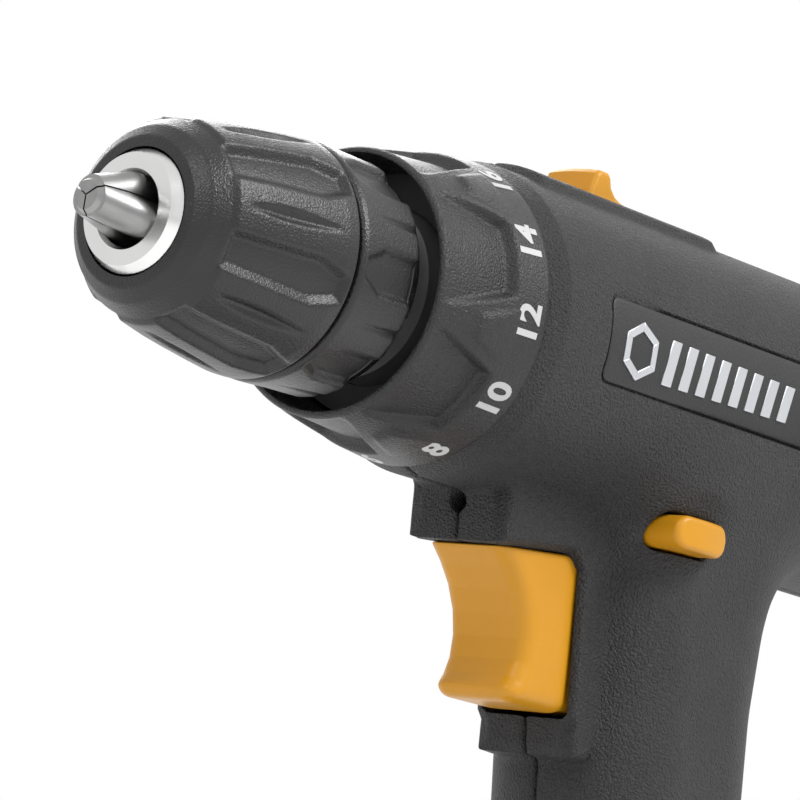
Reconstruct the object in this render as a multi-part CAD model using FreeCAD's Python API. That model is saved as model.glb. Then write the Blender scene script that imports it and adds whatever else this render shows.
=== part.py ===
import FreeCAD, Part
import math
import os

# Cordless drill. Every sub-part is built in the barrel's own axes: X runs along the
# barrel from the chuck's nose (negative) to the tail (positive), Z is up, and X = 0 is
# the seam between the two chuck sleeves. BARREL_TO_BASE then carries it into the part's
# frame, whose origin is the middle of the battery's underside. Lengths are millimetres.

# ---- driving dimensions ----
AXIS_HEIGHT = 195.0
SEAM_TO_BASE = 108.0
BARREL_TO_BASE = FreeCAD.Vector(-SEAM_TO_BASE, 0, AXIS_HEIGHT)
GAP = 0.3
BARREL_RADIUS = 25.3
BARREL_FRONT = 38.9
BARREL_TAIL = 166.0
WALL = 2.5
RAKE = math.radians(7.3)
SLEEVE_RADIUS = 19.0
SLEEVE_FLUTES = 7
TROUGH_TURN = 106.0
POCKET_TURN = 92.7
RING_TEETH_OUTSIDE = 6
RECESS_TURN = 72.0
CHUCK_NOSE = -31.1
CHUCK_REAR = 16.0
JAW_TIP = -40.0
JAW_RADIUS = 2.9
JAW_ANGLE = 16.0
JAW_REAR = -3.0
JAW_TRAVEL_ALONG = 17.4
NUT_BORE_FRONT = 12.6
NUT_BORE_REAR = 14.2
BODY_RADIUS = 16.8
RING_FRONT = 16.5
RING_REAR = 38.6
SPINDLE_RADIUS = 6.0
CLUTCH_NUT_FRONT = 27.0
CLUTCH_NUT_REAR = 30.6
WASHER_FRONT = 35.4
GEAR_MODULE = 0.8
PRESSURE_ANGLE = math.radians(25)
SUN_TEETH = 15
PLANET_TEETH = 12
RING_TEETH = 39
GEAR_PLAY = 0.12
CARRIER_RADIUS = 14.2
PIN_RADIUS = 1.75
RING_GEAR_RADIUS = 18.4
MOTOR_RADIUS = 18.0
MOTOR_FRONT = 77.0
MOTOR_REAR = 134.0
SHAFT_RADIUS = 1.6
TRIGGER_HALF_WIDTH = 8.5
HANDLE_HALF_WIDTH = 17.0
BASE_LENGTH = 105.0
BASE_WIDTH = 72.0
BASE_HEIGHT = 46.0
BASE_BOTTOM = -AXIS_HEIGHT
BASE_TOP = BASE_BOTTOM + BASE_HEIGHT
FOOT_TOP = BASE_TOP + 16.0
HANDLE_REF_Z = -70.0
HANDLE_REF_X = 106.0
CELL_RADIUS = 9.2
CELL_LENGTH = 65.0
COIL_STEPS = 20
WIRE_SIDES = 8

ORIGIN = FreeCAD.Vector(0, 0, 0)
AXIS = FreeCAD.Vector(1, 0, 0)
ACROSS = FreeCAD.Vector(0, 1, 0)
UP = FreeCAD.Vector(0, 0, 1)
DOWN_HANDLE = FreeCAD.Vector(math.sin(RAKE), 0, -math.cos(RAKE))

os.makedirs("parts", exist_ok=True)


# ---- helpers ----
def save(node, *solids):
    """Write one sub-part, carried from the barrel's axes into the part's frame."""
    shape = solids[0] if len(solids) == 1 else Part.makeCompound(list(solids))
    shape.translated(BARREL_TO_BASE).exportStep("parts/" + node + ".step")
    print(node, len(shape.Solids), round(shape.Volume))


def turned(*profile):
    """Solid of revolution about the barrel axis from (along, radius) corners."""
    corners = [FreeCAD.Vector(along, 0, radius) for along, radius in profile]
    face = Part.Face(Part.makePolygon(corners + corners[:1]))
    return face.revolve(ORIGIN, AXIS, 360)


def rod(radius, start, end, y=0.0, z=0.0):
    """Cylinder along the barrel."""
    return Part.makeCylinder(radius, end - start, FreeCAD.Vector(start, y, z), AXIS)


def tube(outer, inner, start, end, y=0.0, z=0.0):
    """Hollow cylinder along the barrel."""
    return rod(outer, start, end, y, z).cut(rod(inner, start - 1, end + 1, y, z))


def block(x0, x1, y0, y1, z0, z1):
    """Box between two corners."""
    return Part.makeBox(x1 - x0, y1 - y0, z1 - z0, FreeCAD.Vector(x0, y0, z0))


def side_profile(points, half_width, y_offset=0.0):
    """Prism with an outline drawn in the drill's side view, centred across its width."""
    corners = [FreeCAD.Vector(x, y_offset - half_width, z) for x, z in points]
    face = Part.Face(Part.makePolygon(corners + corners[:1]))
    return face.extrude(ACROSS * (2 * half_width))


def around(shape, degrees):
    """Copy turned about the barrel axis."""
    return shape.rotated(ORIGIN, AXIS, degrees)


def ring_of(shape, count, first=0.0):
    """Copies evenly spaced about the barrel axis."""
    return [around(shape, first + 360.0 * i / count) for i in range(count)]


def side_prism(half_widths):
    """Cutter that stands on the barrel's top, from (along, half width) corners."""
    right = [FreeCAD.Vector(along, half, 0) for along, half in half_widths]
    left = [FreeCAD.Vector(along, -half, 0) for along, half in half_widths[::-1]]
    face = Part.Face(Part.makePolygon(right + left + right[:1]))
    return face.extrude(UP * 40)


def rounded(shape, radius, wanted):
    """Fillet the edges that a test picks."""
    edges = [edge for edge in shape.Edges if wanted(edge)]
    return shape.makeFillet(radius, edges)


def rounded_outline(x, z, length, width, corner):
    """Level rounded rectangle, centred at x, as a wire of lines and arcs."""
    half_x = length / 2 - corner
    half_y = width / 2 - corner
    bulge = corner * math.sqrt(0.5)
    edges = []
    last = None
    for sign_x, sign_y, turn in ((1, 1, 0), (-1, 1, 90), (-1, -1, 180), (1, -1, 270)):
        centre = FreeCAD.Vector(x + sign_x * half_x, sign_y * half_y, z)
        points = []
        for angle in (turn, turn + 45, turn + 90):
            a = math.radians(angle)
            points.append(centre + FreeCAD.Vector(math.cos(a), math.sin(a), 0) * corner)
        if last is not None:
            edges.append(Part.makeLine(last, points[0]))
        else:
            first = points[0]
        edges.append(Part.Arc(*points).toShape())
        last = points[2]
    edges.append(Part.makeLine(last, first))
    return Part.Wire(edges)


def handle_x(z):
    """Where the raked handle's middle lies at a height."""
    return HANDLE_REF_X + (HANDLE_REF_Z - z) * math.tan(RAKE)


def inside_halves(shape):
    """A shape as its left and right halves, cut at the drill's middle plane."""
    reach = 400
    left = shape.common(block(-reach, reach, -reach, 0, -reach, reach))
    right = shape.common(block(-reach, reach, 0, reach, -reach, reach))
    return left, right


def coil(radius, wire, start, length, turns, direction):
    """Compression spring between two flat faces, its wire faceted so that it stays light."""
    rise = length - 2 * wire
    steps = round(turns * COIL_STEPS)
    sections = []
    for i in range(steps + 1):
        a = 2 * math.pi * turns * i / steps
        outward = FreeCAD.Vector(math.cos(a), math.sin(a), 0)
        centre = outward * radius + UP * (rise * i / steps)
        corners = []
        for side in range(WIRE_SIDES):
            b = 2 * math.pi * side / WIRE_SIDES
            corners.append(centre + (outward * math.cos(b) + UP * math.sin(b)) * wire)
        sections.append(Part.makePolygon(corners + corners[:1]))
    spring = Part.makeLoft(sections, True, True)
    spring.Placement = FreeCAD.Placement(start + direction * wire, FreeCAD.Rotation(UP, direction))
    return spring


# ---- gears ----
def involute(angle):
    return math.tan(angle) - angle


def tooth_half_angle(teeth, play, radius):
    """Half the angle that a tooth covers at a radius, for an involute flank."""
    pitch = GEAR_MODULE * teeth / 2
    base = pitch * math.cos(PRESSURE_ANGLE)
    half = (math.pi * GEAR_MODULE / 2 - play) / (2 * pitch)
    lean = math.acos(min(1.0, base / radius))
    return half + involute(PRESSURE_ANGLE) - involute(lean)


def toothed_outline(teeth, root, tip, play, x, steps=4):
    """Closed wire round all the teeth, with a tooth on +Z, in the plane at x."""
    base = GEAR_MODULE * teeth / 2 * math.cos(PRESSURE_ANGLE)
    flank = [max(base, root) + (tip - max(base, root)) * i / steps for i in range(steps + 1)]
    radii = ([root] if root < base else []) + flank
    corners = []
    for tooth in range(teeth):
        centre = 2 * math.pi * tooth / teeth
        for side, order in ((-1, radii), (1, radii[::-1])):
            for radius in order:
                half = tooth_half_angle(teeth, play, max(radius, base))
                a = centre + side * half
                corners.append(FreeCAD.Vector(x, -radius * math.sin(a), radius * math.cos(a)))
    return Part.makePolygon(corners + corners[:1])


def spur_gear(teeth, start, end, bore):
    """External gear along the barrel with a round bore."""
    pitch = GEAR_MODULE * teeth / 2
    wire = toothed_outline(teeth, pitch - GEAR_MODULE, pitch + 0.75 * GEAR_MODULE, GEAR_PLAY, start)
    gear = Part.Face(wire).extrude(AXIS * (end - start))
    return gear.cut(rod(bore, start - 1, end + 1))


def inner_gear(start, end, outer):
    """Ring gear: the spaces between its teeth have the shape of a matching gear's teeth."""
    pitch = GEAR_MODULE * RING_TEETH / 2
    wire = toothed_outline(
        RING_TEETH, pitch - 0.75 * GEAR_MODULE, pitch + GEAR_MODULE, -GEAR_PLAY, start - 1)
    hollow = Part.Face(wire).extrude(AXIS * (end - start + 2))
    half_step = 180.0 / RING_TEETH
    return rod(outer, start, end).cut(around(hollow, half_step))


PLANET_RADIUS = GEAR_MODULE * (SUN_TEETH + PLANET_TEETH) / 2


def planets(stage, start, end):
    """Three planet gears, each with a tooth gap towards the sun, on its carrier's pins."""
    gear = spur_gear(PLANET_TEETH, start, end, PIN_RADIUS + 0.05)
    gear = gear.rotated(ORIGIN, AXIS, 180.0 / PLANET_TEETH)
    gear = gear.translated(FreeCAD.Vector(0, 0, PLANET_RADIUS))
    for i, name in enumerate("abc"):
        save("planet_gear_" + str(stage) + name, around(gear, 120 * i))


def carrier_plate(plate_start, plate_end, pin_end):
    """Round plate with three pins that point to the tail."""
    plate = rod(CARRIER_RADIUS, plate_start, plate_end)
    pin = rod(PIN_RADIUS, plate_end - 1, pin_end, 0, PLANET_RADIUS)
    for one in ring_of(pin, 3):
        plate = plate.fuse(one)
    return plate.removeSplitter()


# ---- chuck ----
def jaw_blank(radius, start, end):
    """Slanted cylinder whose axis meets the barrel axis at the jaws' tips."""
    slant = math.radians(JAW_ANGLE)
    length = (end - start) / math.cos(slant)
    base = FreeCAD.Vector(start, 0, (start - JAW_TIP) * math.tan(slant))
    return Part.makeCylinder(radius, length, base, FreeCAD.Vector(math.cos(slant), 0, math.sin(slant)))


def third_of_circle(start, end, play):
    """Wedge that keeps one jaw inside its 120 degree share."""
    reach = 60
    corners = []
    for angle in (-60, 60):
        a = math.radians(angle)
        corners.append(FreeCAD.Vector(start, reach * math.sin(a), play + reach * math.cos(a)))
    tip = FreeCAD.Vector(start, 0, play)
    wire = Part.makePolygon([tip, corners[0], corners[1], tip])
    return Part.Face(wire).extrude(AXIS * (end - start))


def make_jaws():
    """Three jaws, closed: slanted, ground to a wedge, with a flat bevelled end."""
    jaw = jaw_blank(JAW_RADIUS, JAW_TIP - 5, JAW_REAR)
    jaw = jaw.common(third_of_circle(JAW_TIP - 8, JAW_REAR + 8, 0.16))
    nose = turned((JAW_TIP, 0), (JAW_TIP, 2.2), (JAW_TIP + 0.7, 2.75), (JAW_TIP + 8, 30), (30, 30), (30, 0))
    jaw = jaw.common(nose)
    lift = JAW_TRAVEL_ALONG * math.tan(math.radians(JAW_ANGLE))
    jaw = jaw.common(rod(BODY_RADIUS - 0.3, -60, 60, 0, -lift))
    for i, name in enumerate("abc"):
        save("jaw_" + name, around(jaw, 120 * i))


def make_chuck_body():
    body = turned(
        (CHUCK_NOSE, 0), (CHUCK_NOSE, 8.5), (-29.4, 9.5), (-26.5, 9.5), (-13.0, 14.6), (-10.4, 14.6),
        (-10.4, 12.3), (-1.6, 12.3), (-1.6, BODY_RADIUS), (CHUCK_REAR, BODY_RADIUS), (CHUCK_REAR, 0))
    body = body.cut(turned((-40, 0), (-40, 6.4), (CHUCK_NOSE, 6.1), (-30.4, 5.6), (-1, 5.6), (-1, 0)))
    body = body.cut(rod(3.1, -2, 5)).cut(rod(4.7, 3.0, 30))
    bore = jaw_blank(JAW_RADIUS + 0.08, JAW_TIP + 4, 30)
    for one in ring_of(bore, 3):
        body = body.cut(one)
    save("chuck_body", body)
    screw = turned((-4.4, 0), (-4.4, 3.6), (-1.0, 5.2), (-1.0, 3.0), (14.0, 3.0), (14.0, 0))
    save("chuck_screw", screw.cut(turned((-6, 0), (-6, 1.6), (-2.4, 1.6), (-1.6, 0))))


def make_sleeves():
    front = turned(
        (-29.5, 10.1), (-29.3, 11.4), (-27.5, 13.5), (-24.2, 15.2), (-18.5, 16.6), (-14.6, 17.4),
        (-8.0, 18.4), (-2.5, SLEEVE_RADIUS), (-0.35, 18.7), (-0.35, 17.2), (-2.0, 17.2), (-2.0, 15.6), (-9.9, 15.6),
        (-9.9, 15.0), (-12.8, 15.0), (-26.8, 9.95), (-29.5, 9.95))
    floor = turned((-30, 0), (-30, 12.6), (-24.7, 14.2), (-18.5, 15.5), (-8.0, 17.2), (0, 17.7), (0, 0))
    trough = side_prism(((-24.7, 2.9), (-6.5, 3.8), (-1.4, 2.0))).cut(floor)
    for one in ring_of(trough, SLEEVE_FLUTES, TROUGH_TURN):
        front = front.cut(one)
    save("front_sleeve", front)
    nut = turned((-9.9, NUT_BORE_FRONT), (-9.9, 15.6), (-2.2, 15.6), (-2.2, NUT_BORE_REAR))
    save("chuck_nut", nut)
    rear = turned(
        (0.35, BODY_RADIUS), (0.35, 18.6), (1.5, 18.9), (13.6, 18.7), (14.2, 18.3), (14.2, BODY_RADIUS))
    pocket = side_prism(((1.6, 1.7), (5.8, 3.6), (15.0, 3.6))).cut(rod(17.7, 0, 16))
    for one in ring_of(pocket, SLEEVE_FLUTES, POCKET_TURN):
        rear = rear.cut(one)
    save("rear_sleeve", rear)


def make_spindle():
    spindle = turned(
        (3.2, 0), (3.2, 4.7), (CHUCK_REAR, 4.7), (CHUCK_REAR, 9.0), (21.0, 9.0), (21.0, SPINDLE_RADIUS),
        (42.0, SPINDLE_RADIUS), (42.0, 0))
    save("spindle", spindle.cut(rod(3.0, 2, 14.0)))
    carrier = carrier_plate(42.0, 45.0, 52.0)
    save("planet_carrier_3", carrier)
    save("bearing_inner_race", tube(7.4, SPINDLE_RADIUS, 23.0, 31.0))
    ball = Part.makeSphere(1.05, FreeCAD.Vector(27.0, 0, 8.5))
    save("bearing_outer_race", tube(11.0, 9.6, 23.0, 31.0), *ring_of(ball, 12))


# ---- clutch ----
def make_clutch():
    ring = turned(
        (RING_FRONT, 20.2), (RING_FRONT, 20.9), (17.0, 21.4), (19.5, 21.7), (26.0, 23.2), (31.0, 23.7),
        (37.6, 24.4), (RING_REAR, 24.2),
        (RING_REAR, 20.9), (34.0, 20.9), (34.0, 19.4), (22.0, 19.4), (21.0, 20.2))
    recess = side_prism(((19.3, 9.2), (31.2, 5.3))).cut(turned((14, 0), (14, 20.9), (20, 21.0), (32, 22.4), (32, 0)))
    for one in ring_of(recess, RING_TEETH_OUTSIDE, RECESS_TURN):
        ring = ring.cut(one)
    slot = block(20, 36, -3.3, 3.3, 15, 20.4)
    for one in ring_of(slot, 3):
        ring = ring.cut(one)
    save("torque_ring", ring)
    nut = tube(18.9, 14.15, CLUTCH_NUT_FRONT, CLUTCH_NUT_REAR)
    lug = block(CLUTCH_NUT_FRONT, CLUTCH_NUT_REAR, -2.9, 2.9, 18.0, 20.0)
    for one in ring_of(lug, 3):
        nut = nut.fuse(one)
    save("clutch_nut", nut.removeSplitter())
    start = FreeCAD.Vector(CLUTCH_NUT_REAR, 0, 0)
    save("clutch_spring", coil(16.4, 0.6, start, WASHER_FRONT - CLUTCH_NUT_REAR, 2.5, AXIS))
    ball = Part.makeSphere(1.8, FreeCAD.Vector(38.25, 0, 16.5))
    save("clutch_washer", tube(18.6, 14.4, WASHER_FRONT, 36.4), *ring_of(ball, 6, 30))


# ---- gearbox and motor ----
def make_gearbox():
    case = turned(
        (21.8, 11.0), (21.8, 14.0), (36.5, 14.0), (36.5, 20.4), (42.0, 20.4), (42.0, 21.6), (75.0, 21.6),
        (75.0, 18.6), (40.1, 18.6), (40.1, 6.3), (34.0, 6.3), (34.0, 9.0), (31.0, 9.0), (31.0, 11.0))
    seat = rod(1.95, 36, 41, 0, 16.5)
    for one in ring_of(seat, 6, 30):
        case = case.cut(one)
    slot = block(52.0, 66.6, -3.4, 3.4, 15, 25)
    case = case.cut(slot)
    save("gearbox_case", case)
    third = inner_gear(40.3, 52.8, RING_GEAR_RADIUS)
    save("ring_gear_3", third)
    second = inner_gear(55.0, 61.4, RING_GEAR_RADIUS - 0.1)
    save("ring_gear_2", second.cut(tube(20, 17.4, 57.5, 58.9)))
    save("ring_gear_1", inner_gear(67.4, 75.0, 18.6))
    planets(3, 45.3, 51.8)
    planets(2, 55.4, 61.2)
    planets(1, 67.8, 74.6)
    sun_3 = spur_gear(SUN_TEETH, 45.5, 53.0, 1.0)
    sun_2 = spur_gear(SUN_TEETH, 55.6, 64.0, 1.0)
    sun_1 = spur_gear(SUN_TEETH, 68.0, 75.6, SHAFT_RADIUS)
    bore = rod(1.0, 40, 80)
    save("planet_carrier_2", carrier_plate(52.9, 55.0, 61.6).cut(bore).fuse(sun_3).removeSplitter())
    save("planet_carrier_1", carrier_plate(63.8, 66.2, 74.8).cut(bore).fuse(sun_2).removeSplitter())
    save("motor_pinion", sun_1)
    save("gearbox_end_plate", tube(21.6, 8.0, 75.1, 76.9))


def make_motor():
    can = turned(
        (MOTOR_FRONT, SHAFT_RADIUS + 0.05), (MOTOR_FRONT, MOTOR_RADIUS), (MOTOR_REAR, MOTOR_RADIUS),
        (MOTOR_REAR, MOTOR_RADIUS - 1), (78.2, MOTOR_RADIUS - 1), (78.2, SHAFT_RADIUS + 0.05))
    save("motor_can", can)
    shell = tube(16.9, 13.4, 84.0, 126.0)
    arcs = shell.common(block(80, 130, -9.5, 9.5, 5, 30))
    save("motor_magnets", around(arcs, 0), around(arcs, 180))
    cap = turned(
        (MOTOR_REAR, SHAFT_RADIUS + 0.05), (MOTOR_REAR, MOTOR_RADIUS), (137.0, MOTOR_RADIUS - 0.6), (138.6, 9.0),
        (143.0, 7.0), (143.0, SHAFT_RADIUS + 0.05))
    save("motor_end_cap", cap)
    core = tube(12.8, SHAFT_RADIUS, 86.0, 122.0)
    slot = block(85, 123, -1.2, 1.2, 6.5, 14)
    for one in ring_of(slot, 5):
        core = core.cut(one)
    save("armature_core", core)
    save("commutator", tube(5.6, SHAFT_RADIUS, 124.0, 131.5))
    winding = tube(11.0, 3.0, 81.6, 85.9)
    save("armature_windings", winding, tube(11.0, 3.0, 122.1, 123.9))
    save("motor_shaft", rod(SHAFT_RADIUS, 68.4, 145.5))
    brush = block(125.8, 129.8, -2.2, 2.2, 5.7, 12.0)
    save("motor_brushes", brush, around(brush, 180))
    hub = tube(8.6, SHAFT_RADIUS, 143.2, 145.2).fuse(tube(17.4, 8.0, 144.2, 145.2))
    for one in ring_of(block(143.9, 148.0, -0.5, 0.5, 7.0, 17.0), 9):
        hub = hub.fuse(one)
    save("cooling_fan", hub.removeSplitter())


# ---- housing ----
def outer_form():
    """The closed outside of the two housing halves together."""
    barrel = turned(
        (BARREL_FRONT, 0), (BARREL_FRONT, 24.1), (42.6, BARREL_RADIUS), (158.0, 25.0),
        (163.0, 23.4), (BARREL_TAIL - 0.8, 20.4), (BARREL_TAIL, 18.0), (BARREL_TAIL, 0))
    saddle = rod(26.6, 50.0, 96.0).common(block(50, 96, -11, 11, 0, 40))
    form = barrel.fuse(saddle)
    sections = []
    for z, length, width, shift in (
            (-14, 62, 41, 3), (-24, 53, 37.5, 1.5), (-36, 47.5, 35.4, 0.6), (-50, 45, 34.4, 0), (-70, 44, 34, 0),
            (-95, 43.5, 34, 0), (-113, 45, 35.5, 0.5), (-124, 49, 39, 1)):
        sections.append(rounded_outline(handle_x(z) + shift, z, length, width, 0.42 * width))
    grip = Part.makeLoft(sections, True, False)
    form = form.fuse(grip)
    foot = Part.makeLoft([
        rounded_outline(handle_x(-120) + 1, -120, 47, 38, 16),
        rounded_outline(SEAM_TO_BASE + 2.5, FOOT_TOP, 90, 60, 16),
        rounded_outline(SEAM_TO_BASE, BASE_TOP, BASE_LENGTH - 0.6, BASE_WIDTH - 0.6, 12)], True, True)
    form = form.fuse(foot)
    nose_block = side_profile(
        ((50, -15), (53.0, -24.5), (55.4, -33.0), (72, -34.5), (90, -34.5), (90, -15)), 9.2)
    flare = Part.makeLoft([
        side_outline(56.5, -18, -33.2, 9.0), side_outline(72.0, -18, -34.6, 15.2)], True, True)
    boss = side_profile(
        ((71.6, -18), (72.6, -28), (77.0, -60.0), (79.5, -62.8), (100, -62.8), (100, -18)), 15.2)
    form = form.fuse(nose_block).fuse(flare).fuse(boss)
    return form.removeSplitter()


def side_outline(x, top, bottom, half_width):
    """Upright rectangle across the drill at x."""
    corners = [(-half_width, bottom), (half_width, bottom), (half_width, top), (-half_width, top)]
    points = [FreeCAD.Vector(x, y, z) for y, z in corners]
    return Part.makePolygon(points + points[:1])


def inner_form():
    """Everything taken out of the housing: bores, handle hollow and openings."""
    hollow = turned(
        (30, 0), (30, 20.75), (42.0, 20.75), (42.0, 21.65), (78.0, 21.65), (78.0, 22.6), (155.0, 22.4),
        (161.0, 20.4), (163.2, 16.0), (163.2, 0))
    sections = []
    for z, length, width in ((-12, 46, 31), (-36, 40, 29.4), (-70, 38.6, 28.8), (-121, 38.6, 28.8)):
        sections.append(rounded_outline(handle_x(z) + 0.4, z, length, width, 0.4 * width))
    grip = Part.makeLoft(sections, True, True)
    sections = [rounded_outline(handle_x(-114) + 0.4, -114, 33.0, 23.0, 9.0),
                rounded_outline(SEAM_TO_BASE + 2, FOOT_TOP - 2, 76, 48, 13),
                rounded_outline(SEAM_TO_BASE, BASE_TOP, 94, 63, 12)]
    foot = Part.makeLoft(sections, True, True)
    trigger_bay = side_profile(((60, -34.2), (110, -34.2), (110, -57.4), (60, -57.4)), TRIGGER_HALF_WIDTH + 0.4)
    pin_hole = rod(1.65, 45, 62, 0, -26.9)
    selector_slot = block(53.6, 86.4, -5.6, 5.6, 20, 40)
    bar_hole = block(82.4, 96.6, -40, 40, -28.2, -22.0)
    hollow = hollow.fuse(grip).fuse(foot).fuse(trigger_bay)
    for one in (pin_hole, selector_slot, bar_hole):
        hollow = hollow.fuse(one)
    for vent in range(5):
        x = 137.0 + 4.2 * vent
        for z in (-9.0, 3.5):
            hollow = hollow.fuse(block(x, x + 2.0, -40, 40, z, z + 9.0))
    return hollow


# Case screws, as (along, height): nose block, grip, barrel, tail and foot.
SCREWS = ((62.5, -29.6), (104.0, -64.0), (122.0, 21.8), (153.5, -15.0), (153.5, 15.0),
          (SEAM_TO_BASE - 34.0, BASE_TOP + 6.0), (SEAM_TO_BASE + 38.0, BASE_TOP + 6.0))
POST_RADIUS = 3.3
SCREW_RADIUS = 1.5
HEAD_RADIUS = 2.9
HEAD_DEPTH = 2.6


def cross_rod(radius, x, z, y0, y1):
    """Cylinder across the drill."""
    return Part.makeCylinder(radius, y1 - y0, FreeCAD.Vector(x, y0, z), ACROSS)


def make_housing():
    """Two shells that meet at the middle plane, with posts for the screws that hold them."""
    outside = outer_form()
    shell = outside.cut(inner_form())
    screws = []
    for x, z in SCREWS:
        shell = shell.fuse(cross_rod(POST_RADIUS, x, z, -50, 50).common(outside))
    for x, z in SCREWS:
        line = Part.makeLine(FreeCAD.Vector(x, 0, z), FreeCAD.Vector(x, 60, z))
        surface = outside.common(line).BoundBox.YMax
        floor = surface - HEAD_DEPTH
        shell = shell.cut(cross_rod(SCREW_RADIUS, x, z, -8, surface))
        shell = shell.cut(cross_rod(HEAD_RADIUS + 0.3, x, z, floor, 60))
        head = cross_rod(HEAD_RADIUS, x, z, floor, floor + 1.8)
        recess = block(x - 1.8, x + 1.8, floor + 0.8, floor + 2, z - 0.3, z + 0.3)
        recess = recess.fuse(block(x - 0.3, x + 0.3, floor + 0.8, floor + 2, z - 1.8, z + 1.8))
        screws.append(head.fuse(cross_rod(SCREW_RADIUS, x, z, -8, floor)).cut(recess).removeSplitter())
    left, right = inside_halves(shell)
    save("housing_left", max(left.Solids, key=lambda solid: solid.Volume))
    save("housing_right", max(right.Solids, key=lambda solid: solid.Volume))
    save("housing_screws", *screws)


# ---- controls ----
TRIGGER_TOP = -34.9
TRIGGER_BOTTOM = -56.8
TRIGGER_REAR = 88.4
SWITCH_FRONT = 96.0


def make_trigger():
    """Finger trigger with a hollowed front, its return spring, and the switch it works."""
    front = Part.Arc(
        FreeCAD.Vector(57.0, 0, TRIGGER_TOP), FreeCAD.Vector(65.8, 0, -47.0),
        FreeCAD.Vector(64.6, 0, TRIGGER_BOTTOM)).toShape()
    back = Part.makePolygon([
        FreeCAD.Vector(64.6, 0, TRIGGER_BOTTOM), FreeCAD.Vector(TRIGGER_REAR, 0, TRIGGER_BOTTOM),
        FreeCAD.Vector(TRIGGER_REAR, 0, TRIGGER_TOP), FreeCAD.Vector(57.0, 0, TRIGGER_TOP)])
    face = Part.Face(Part.Wire([front] + back.Edges))
    face.translate(FreeCAD.Vector(0, -TRIGGER_HALF_WIDTH, 0))
    trigger = face.extrude(ACROSS * (2 * TRIGGER_HALF_WIDTH))
    trigger = rounded(trigger, 3.5, is_front_side_edge)
    save("trigger", trigger)
    middle = FreeCAD.Vector(TRIGGER_REAR, 0, -46.0)
    save("trigger_spring", coil(3.2, 0.4, middle, SWITCH_FRONT - TRIGGER_REAR, 5, AXIS))
    body = block(SWITCH_FRONT, 119.0, -8.2, 8.2, -57.0, -34.6)
    save("switch_body", body)


def is_front_side_edge(edge):
    """The long edges between the trigger's finger face and its sides."""
    box = edge.BoundBox
    flat = box.YMax - box.YMin < 0.01
    return flat and box.XMax < 70


def make_selectors():
    """Two-speed slider on top of the barrel, its shift wire, and the cross bar for direction."""
    outline = (
        (55.2, 22.6), (55.2, 26.2), (68.4, 26.2), (68.8, 28.2), (69.8, 30.9), (72.8, 30.9), (74.0, 28.8),
        (76.2, 27.2), (80.4, 26.6), (80.4, 22.6))
    save("speed_selector", side_profile(outline, 5.3))
    wire = tube(18.3, 17.5, 57.8, 58.6).common(block(50, 70, -30, 30, -12, 30))
    wire = wire.fuse(block(57.8, 58.6, -1.4, 1.4, 17.7, 22.6))
    save("shift_wire", wire.removeSplitter())
    bar = block(82.8, 96.2, -22.5, 22.5, -27.8, -22.4)
    bar = rounded(bar, 2.2, lambda edge: edge.BoundBox.YMax - edge.BoundBox.YMin > 20)
    save("direction_bar", bar)


def cable(points, radius):
    """Insulated wire through a few points."""
    corners = [FreeCAD.Vector(*point) for point in points]
    solid = None
    for a, b in zip(corners[:-1], corners[1:]):
        run = Part.makeCylinder(radius, (b - a).Length, a, b - a)
        solid = run if solid is None else solid.fuse(Part.makeSphere(radius, a)).fuse(run)
    return solid.removeSplitter()


STEM_TOP = -80.0
BLADES = (-6.0, 0.0, 6.0)


def make_wiring():
    """Battery receptacle in the grip, and the wires between it, the switch and the motor."""
    base = block(99.0, 115.0, -9.5, 9.5, -73.0, -68.0)
    clips = [block(104.0, 110.0, y, y + 0.8, -78.6, -73.0) for y in BLADES]
    save("battery_receptacle", base, *clips)
    wires = []
    for side in (-1, 1):
        wires.append(cable(((113.0, 5 * side, -57.0), (113.0, 5 * side, -68.0)), 1.0))
        wires.append(cable(
            ((115.0, 5 * side, -34.6), (115.0, 5 * side, -24.0), (119.0, 6 * side, -19.9),
             (139.6, 6 * side, -19.9), (139.6, 6 * side, -13.0)), 1.0))
    save("wiring", *wires)


# ---- battery pack ----
def stem_form(length, width, top, sunk):
    """Raked block that fills the grip and reaches a little way down into the base."""
    sections = []
    for z in (top, BASE_TOP - sunk):
        sections.append(rounded_outline(handle_x(z) + 0.4, z, length, width, 0.4 * width))
    return Part.makeLoft(sections, True, True)


def base_form(inset, bottom, top):
    """Rounded slab with the pack's outline."""
    outline = rounded_outline(SEAM_TO_BASE, bottom, BASE_LENGTH - 2 * inset, BASE_WIDTH - 2 * inset, 12 - inset)
    return Part.Face(outline).extrude(UP * (top - bottom))


BASE_SPLIT = BASE_BOTTOM + 21.0
LATCH_HALF_LENGTH = 13.0
LATCH_INNER = 25.6
LATCH_BOTTOM = BASE_BOTTOM + 23.0
LATCH_TOP = BASE_BOTTOM + 36.0
CELL_LOW = BASE_BOTTOM + 2.6 + CELL_RADIUS


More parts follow.
